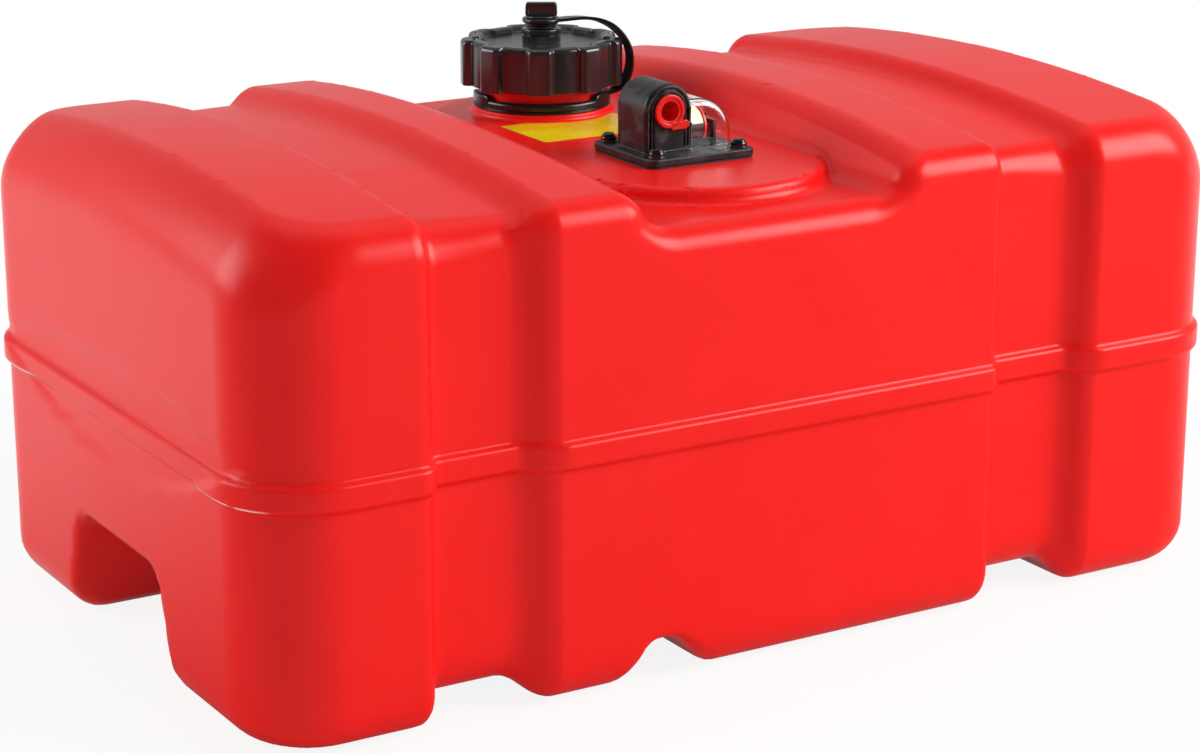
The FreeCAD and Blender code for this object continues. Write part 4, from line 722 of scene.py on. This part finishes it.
tether = {
    "collarIn": 33.8, "collarOut": 38.4, "collarGroove": 36.7, "collarCrown": 37.9,
    "collarLow": 244.7, "collarHigh": 250.4,
    "earTurns": (-49, 171), "earHalf": 12.0, "earHigh": 253.0, "earOut": 38.1, "earMiddle": 36,
    "earEnd": 3.4, "earEdge": 1.5,
    "eyeIn": 6.3, "eyeOut": 10.6, "eyeLow": 289.7, "eyeHigh": 292.3,
    "lipIn": 8.2, "lipOut": 9.2, "lipLow": 288.5, "lipTop": 291.0,      # rim below the eye, round the disc
    "width": 9.0, "thickness": 1.8, "turn": -31, "strapEdge": 0.7,
    "twist": 24, "twistGrows": (0.05, 0.4), "twistFades": (0.8, 1),
    "path": [(10.0, 291.0), (15.2, 291.5), (23.4, 291.9), (31.5, 290.7), (38.5, 287.6), (44.1, 282.5),
             (47.6, 276.5), (48.9, 270.4), (48.6, 264.3), (46.8, 258.6), (43.2, 254.0), (39.4, 251.4),
             (35.8, 249.8)],
}

def smoothPath(points, steps):
    # the path through the points in which each stretch is a cubic whose end slopes are half the step
    # between the neighbours of its end point; gives the points and the unit headings
    spots = np.array(points, float)
    slopes = np.gradient(spots, axis=0)
    t = np.linspace(0, 1, steps, endpoint=False)[:, None, None]
    start, end, leave, arrive = spots[:-1], spots[1:], slopes[:-1], slopes[1:]
    line = ((2 * t ** 3 - 3 * t ** 2 + 1) * start + (t ** 3 - 2 * t ** 2 + t) * leave
            + (3 * t ** 2 - 2 * t ** 3) * end + (t ** 3 - t ** 2) * arrive)
    line = np.concatenate([line.swapaxes(0, 1).reshape(-1, spots.shape[1]), spots[-1:]])
    heading = np.gradient(line, axis=0)
    return line, heading / np.linalg.norm(heading, axis=1, keepdims=True)

def strapPart():
    # A flat section with round edges carried along the path. Its thickness stands along the path's normal
    # and its width along Y, both turned about the path by a twist that is nothing at the two ends.
    t = tether
    w, h = t["width"] / 2, t["thickness"] / 2
    edge = t["strapEdge"]
    section, heads = softened([(-h, -w, edge), (h, -w, edge), (h, w, edge), (-h, w, edge)], 4)
    line, heading = smoothPath(t["path"], 4)
    share = np.linspace(0, 1, len(line))[:, None]
    swing = rise(share, *t["twistGrows"]) * (1 - rise(share, *t["twistFades"]))
    twist = math.radians(t["twist"]) * swing
    normal = np.stack([heading[:, 1], 0 * heading[:, 0], -heading[:, 0]], 1)
    thick = normal * np.cos(twist) - np.array([0, 1, 0]) * np.sin(twist)
    wide = np.array([0, 1, 0]) * np.cos(twist) + normal * np.sin(twist)
    middle = np.stack([line[:, 0], 0 * line[:, 0], line[:, 1]], 1)[:, None]
    points = middle + thick[:, None] * section[None, :, :1] + wide[:, None] * section[None, :, 1:]
    slopes = thick[:, None] * heads[None, :, 1:] - wide[:, None] * heads[None, :, :1]
    return gridPart(points, slopes, False)

def earField(x, y, z):
    # a raised stretch of the collar, rounded all over, that follows its curve for a stated length
    t = tether
    radius = np.hypot(x, y)
    along = np.abs(np.arctan2(y, x)) * t["earMiddle"] - t["earHalf"]
    top = roundedBoth(z - t["earHigh"], along, t["earEnd"])
    wall = between(radius, t["collarIn"] + 0.1, t["earOut"])
    return np.maximum(roundedBoth(top, wall, t["earEdge"]), t["collarLow"] + 2 - z)

def makeTether():
    t = tether
    low, high, outer = t["collarLow"], t["collarHigh"], t["collarOut"]
    collar = turnedPart(outline(
        t, ("collarIn", low, 0.3), (outer, low, 0.4), (outer, low + 0.9, 0.35),
        ("collarGroove", low + 1.1, 0.25), ("collarCrown", low + 1.7, 0.7), ("collarCrown", high, 2.2),
        ("collarIn", high, 1.4)), closed=True, angles=128, steps=6)
    eye = turnedPart(outline(
        t, ("lipIn", "lipLow", 0.1), ("lipOut", "lipLow", 0.35), ("lipOut", "eyeLow", 0.2),
        ("eyeOut", "eyeLow", 0.9), ("eyeOut", "eyeHigh", 1.2), ("eyeIn", "eyeHigh", 0.5),
        ("eyeIn", "lipTop", 0.1), ("lipIn", "lipTop", 0.1)), closed=True, angles=72)
    ear = skinOf(earField, spread((30, 39, 0.45)), spread((-14, 14, 0.5)), spread((246.4, 254.2, 0.45)))
    ears = [movedPart(ear, filler["middle"], turnedBy(turn)) for turn in t["earTurns"]]
    thing = makePiece("capTether", None, "cap_tether", "tether_plastic", tetherFinish,
                      movedPart(collar, filler["middle"]), movedPart(eye, filler["middle"]),
                      movedPart(strapPart(), filler["middle"], turnedBy(t["turn"])), *ears)
    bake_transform(thing)
    return thing

# Gauge housing

housing = {
    "middle": (4, -62), "half": (32.5, 30), "corner": 6, "low": 241.5, "high": 245.5, "flangeRim": 0.9,
    "portMiddle": (-8, 266.5), "blockHalf": 14, "front": -76.5, "back": -47.5, "blockRim": 2.4, "root": 0.8,
    "portRadius": 6.6, "portDepth": 20, "socketRadius": 6.5, "tubeRadius": 4.05,
    "grooves": [(2.7, 0.8, 1.3), (4.7, 0.45, 0.7)], "grooveFoot": 247.2,    # inward, half width, depth
    "socketLow": 234.5, "tubeSeat": 240, "windowStart": 6, "windowEnd": 22.6, "windowHalf": 12,
    "pocketHalf": 15.5, "pocketHigh": 244.1, "boltRadius": 2.2,
    "bolts": [(-21, -85.5), (-21, -38.5), (29, -85.5), (29, -38.5)],
}

def housingField(x, y, z):
    # an arched block on a flange, with two arched grooves in its face, the port, the tube's socket, the
    # window over the movement and the screw holes
    h = housing
    u, w = x - h["portMiddle"][0], z - h["portMiddle"][1]
    arch = np.hypot(u, np.maximum(w, 0)) - h["blockHalf"]           # upright sides under a half circle
    block = roundedBoth(arch, between(y, h["front"], h["back"]), h["blockRim"])
    block = np.maximum(block, h["low"] + 1 - z)
    front = y - h["front"]
    for inward, halfWidth, depth in h["grooves"]:
        groove = roundedBoth(np.abs(arch + inward) - halfWidth, front - depth, 0.15)
        block = roundedAway(block, np.maximum(groove, h["grooveFoot"] - z), 0.3)
    plan = plate(x, y, h["middle"], h["half"], h["corner"])
    flange = roundedBoth(plan, between(z, h["low"], h["high"]), h["flangeRim"])
    form = roundedEither(flange, block, h["root"])
    tubeAway = np.hypot(u, y - h["middle"][1])
    socket = np.maximum(tubeAway - h["socketRadius"], between(z, h["socketLow"], h["low"] + 0.5))
    form = np.minimum(form, socket)
    form = cutAway(form, np.maximum(tubeAway - h["tubeRadius"], z - h["tubeSeat"]))
    port = np.maximum(np.hypot(u, w) - h["portRadius"], front - h["portDepth"])
    form = roundedAway(form, port, 0.4)
    across = np.abs(y - h["middle"][1])
    span = between(x, h["windowStart"], h["windowEnd"])
    for half, top in ((h["windowHalf"], h["high"] + 0.5), (h["pocketHalf"], h["pocketHigh"])):
        form = cutAway(form, np.maximum(np.maximum(span, across - half), z - top))
    for place in h["bolts"]:
        form = cutAway(form, np.hypot(x - place[0], y - place[1]) - h["boltRadius"])
    return form

def makeHousing():
    part = skinOf(housingField, spread((-29, -23, 0.9), (-23, 7, 0.6), (7, 24, 0.9), (24, 37, 1.0)),
                  spread((-92.5, -78, 0.9), (-78, -74, 0.35), (-74, -45, 1.3), (-45, -31.5, 0.9)),
                  spread((234, 241, 1.0), (241, 247.6, 0.5), (247.6, 281, 0.8)))
    return makePiece("gaugeHousing", "tank", "gauge_housing", "housing_black", housingFinish, part)

# Clear cover over the gauge

lens = {
    "near": 6.0, "far": 32.0, "middle": -62, "half": 13.5, "low": 245.5, "high": 270.5, "bend": 21,
    "edge": 4.2, "wall": 1.4,
}

def lensField(x, y, z):
    # a box with one long edge bent to a large radius and its sides rounded, less the same form a wall
    # further in
    k = lens
    crown = roundedBoth(x - k["far"], z - k["high"], k["bend"])
    outside = roundedBoth(crown, np.abs(y - k["middle"]) - k["half"], k["edge"])
    shell = roundedAway(outside, outside + k["wall"], 0.3)
    return roundedBoth(roundedBoth(shell, k["low"] - z, 0.2), k["near"] - x, 0.2)

def makeLens():
    part = skinOf(lensField, spread((5.4, 32.6, 0.5)), spread((-76.2, -47.8, 0.5)),
                  spread((245.0, 271.0, 0.5)))
    return makePiece("gaugeCover", "tank", "gauge_lens", "lens_clear", lensFinish, part)

# Port plug

plug = {
    "place": (-8, -76.5, 266.5), "rim": 8.8, "rimThick": 1.8, "hole": 5.2, "cup": 6.5, "length": 12,
    "wall": 1.2, "dish": 6.5, "dishFloor": 1.15, "tailMiddle": (4.8, -7.7), "tailHalf": (4.2, 2.1),
    "knobMiddle": (9.0, -7.3), "knobRadius": 2.3, "tailLow": 0.1, "tailHigh": 1.8,
}

def tailOfPlug(x, y, z):
    # a flat tail beside the bottom of the rim, with a round knob at its end
    p = plug
    bar = plate(x, y, p["tailMiddle"], p["tailHalf"], 0.8)
    knob = np.hypot(x - p["knobMiddle"][0], y - p["knobMiddle"][1]) - p["knobRadius"]
    return roundedBoth(roundedEither(bar, knob, 0.8), between(z, p["tailLow"], p["tailHigh"]), 0.5)

def makePlug():
    p = plug
    cup = turnedPart(outline(
        p, (1.5, p["wall"] - p["length"], 0), ("hole", p["wall"] - p["length"], 0.5),
        ("hole", "dishFloor", 0.35), ("dish", "dishFloor", 0.3), (p["dish"] + 0.4, "rimThick", 0.3),
        ("rim", "rimThick", 0.7), ("rim", 0, 0.4), ("cup", 0, 0.15), ("cup", -p["length"], 0.8),
        (1.5, -p["length"], 0)), angles=72)
    tail = skinOf(tailOfPlug, spread((0.2, 11.7, 0.3)), spread((-10.3, -4.6, 0.3)),
                  spread((-0.2, 2.1, 0.25)))
    facing = [(1, 0, 0), (0, 0, 1), (0, -1, 0)]
    return makePiece("portPlug", "plug", "port_plug", "plug_red", plugFinish,
                     movedPart(cup, p["place"], facing), movedPart(tail, p["place"], facing))

# Gauge screws: domed heads with a flange, and a plain shank

screw = {"flange": 4.8, "seat": 245.5, "dome": 4.2, "top": 250.3, "shank": 1.95, "end": 233.5}

def makeScrews():
    s = screw
    head = turnedPart(outline(
        s, (1.0, "end", 0), ("shank", "end", 0.4), ("shank", "seat", 0.1), ("flange", "seat", 0.15),
        ("flange", s["seat"] + 0.7, 0.3), ("dome", s["seat"] + 0.8, 0.2), ("dome", s["seat"] + 2.4, 1.4),
        (2.6, s["top"] - 0.2, 1.8), (0.6, "top", 0)), angles=48, steps=6)
    return makePiece("gaugeScrews", "tank", "gauge_screws", "screw_black", screwFinish,
                     *[movedPart(head, (*place, 0)) for place in housing["bolts"]])

# Yellow film on the pad

film = {"middle": (-3.5, 20.2), "half": (36.5, 24.3), "corner": 2.0, "low": 240.45, "high": 240.78}

def filmField(x, y, z):
    # a thin sheet with round corners whose top ripples by a few hundredths
    f = film
    ripple = 0.03 * np.sin(x / 2.3 + 1.4 * np.sin(y / 5)) * np.sin(y / 3.1 + 0.8 * np.sin(x / 4))
    plan = plate(x, y, f["middle"], f["half"], f["corner"])
    return roundedBoth(plan, between(z, f["low"], f["high"] + ripple), 0.1)

def makeFilm():
    part = skinOf(filmField, spread((-41, 34, 0.9)), spread((-5, 46, 0.9)), spread((240.2, 241.1, 0.15)))
    return makePiece("yellowFilmLabel", "tank", "info_label", "label_yellow", filmFinish, part)

# Studio

studio = {
    "floor": (0.94, 0.94, 0.94), "floorReach": 6.0, "floorGlow": 0.88, "worldLight": 0.3,
    "away": (0.30, 0.95, 0.0), "greyLevel": 0.07, "skyLevel": 0.5,
    "cameraAt": (-0.80852, -1.33917, 0.56398), "yaw": 31.02, "pitch": 16.36, "focalPixels": 2970.49,
    "imageWidth": 1200, "floorTurn": (-0.3, 0.35), "skyTurn": (0.05, 0.75), "glowFrom": (0.5, 1.3),
    "lampAim": (0, 0, 0.12),
    "lamps": {"rightPanel": {"place": (1.8, -1.5, 1.45), "size": (1.8, 1.4), "power": 74},
              "leftPanel": {"place": (-1.8, 1.1, 1.0), "size": (1.4, 1.2), "power": 26},
              "topPanel": {"place": (0.1, 0.3, 2.0), "size": (1.8, 1.2), "power": 5}},
}

def seenPath(tree):
    # 1 for the rays that show the background itself, straight or through something clear
    path = tree.nodes.new("ShaderNodeLightPath").outputs
    return sums(tree, "MAXIMUM", path["Is Camera Ray"], path["Is Transmission Ray"]), path["Is Glossy Ray"]

def shinyLevel(tree, place, start, end, brightest):
    # what a reflection sees: grey on the side that the viewer stands on, brighter on the far side
    across = addNode(tree, "ShaderNodeVectorMath", {0: place}, operation="DOT_PRODUCT")
    across.inputs[1].default_value = studio["away"]
    return ramp(tree, across.outputs["Value"], start, end, studio["greyLevel"], brightest)

def paleStage(name):
    # white to the camera apart from the shadows, a painted glow to reflections, and a matt pale surface to
    # everything else
    material = bpy.data.materials.new(name)
    material.use_nodes = True
    tree = material.node_tree
    tree.nodes.clear()
    matt = addNode(tree, "ShaderNodeBsdfDiffuse", Color=(*studio["floor"], 1))
    seen, shiny = seenPath(tree)
    # painted reflection: to glossy rays the floor glows, grey on the viewer's side and brighter beyond
    level = shinyLevel(tree, objectPlace(tree), *studio["floorTurn"], 1.0)
    glow = addNode(tree, "ShaderNodeEmission", {"Strength": sums(tree, "MAXIMUM", seen, level)})
    reach = addNode(tree, "ShaderNodeVectorMath", {0: objectPlace(tree)}, operation="LENGTH")
    whiteness = ramp(tree, reach.outputs["Value"], *studio["glowFrom"], studio["floorGlow"], 1.0)
    share = sums(tree, "MAXIMUM", sums(tree, "MULTIPLY", seen, whiteness), shiny)
    mix = addNode(tree, "ShaderNodeMixShader", {0: share, 1: matt.outputs[0], 2: glow.outputs[0]})
    addNode(tree, "ShaderNodeOutputMaterial", {"Surface": mix.outputs[0]})
    return material

def makeFloor():
    reach = studio["floorReach"]
    corners = [(-reach, -reach, 0), (reach, -reach, 0), (reach, reach, 0), (-reach, reach, 0)]
    mesh = bpy.data.meshes.new("floor")
    mesh.from_pydata(corners, [], [(0, 1, 2, 3)])
    mesh.materials.append(paleStage("paleFloor"))
    placed("floor", mesh)

def softLamp(name, place, size, power):
    lamp = bpy.data.lights.new(name, "AREA")
    lamp.shape = "RECTANGLE"
    lamp.size, lamp.size_y = size
    lamp.energy = power
    thing = placed(name, lamp)
    thing.location = place
    thing.rotation_euler = (Vector(studio["lampAim"]) - Vector(place)).to_track_quat("-Z", "Y").to_euler()

def makeWorld():
    world = bpy.data.worlds.new("studioWorld")
    world.use_nodes = True
    tree = world.node_tree
    background = tree.nodes["Background"]
    background.inputs["Color"].default_value = (1, 1, 1, 1)
    seen, shiny = seenPath(tree)
    facing = addNode(tree, "ShaderNodeTexCoord").outputs["Generated"]
    level = shinyLevel(tree, facing, *studio["skyTurn"], studio["skyLevel"])
    inReflections = sums(tree, "MULTIPLY", shiny, level)
    lit = sums(tree, "MULTIPLY", sums(tree, "SUBTRACT", 1.0, shiny), studio["worldLight"])
    strength = sums(tree, "MAXIMUM", seen, sums(tree, "ADD", inReflections, lit))
    feed(tree, background, Strength=strength)
    bpy.context.scene.world = world

def makeCamera():
    # the view direction is given by yaw to the right of +Y and pitch below the horizon
    camera = bpy.data.cameras.new("camera")
    camera.sensor_width = 36
    camera.lens = studio["focalPixels"] / studio["imageWidth"] * 36
    thing = placed("camera", camera)
    thing.location = studio["cameraAt"]
    thing.rotation_euler = (math.radians(90 - studio["pitch"]), 0, math.radians(-studio["yaw"]))
    bpy.context.scene.camera = thing

makeFloor()
makeWorld()
makeCamera()
for lampName, lamp in studio["lamps"].items():
    softLamp(lampName, **lamp)
bpy.context.scene.view_settings.view_transform = "Standard"
print("studio set")
makeTank()
makeCap()
makeVentScrew()
makeTether()
makeFilm()
makeHousing()
makeLens()
makePlug()
makeScrews()
for nodeName, finish in nodeFinishes.items():
    nodes[nodeName].data.materials.clear()
    nodes[nodeName].data.materials.append(finish)
print("packed solids dressed:", len(nodeFinishes))
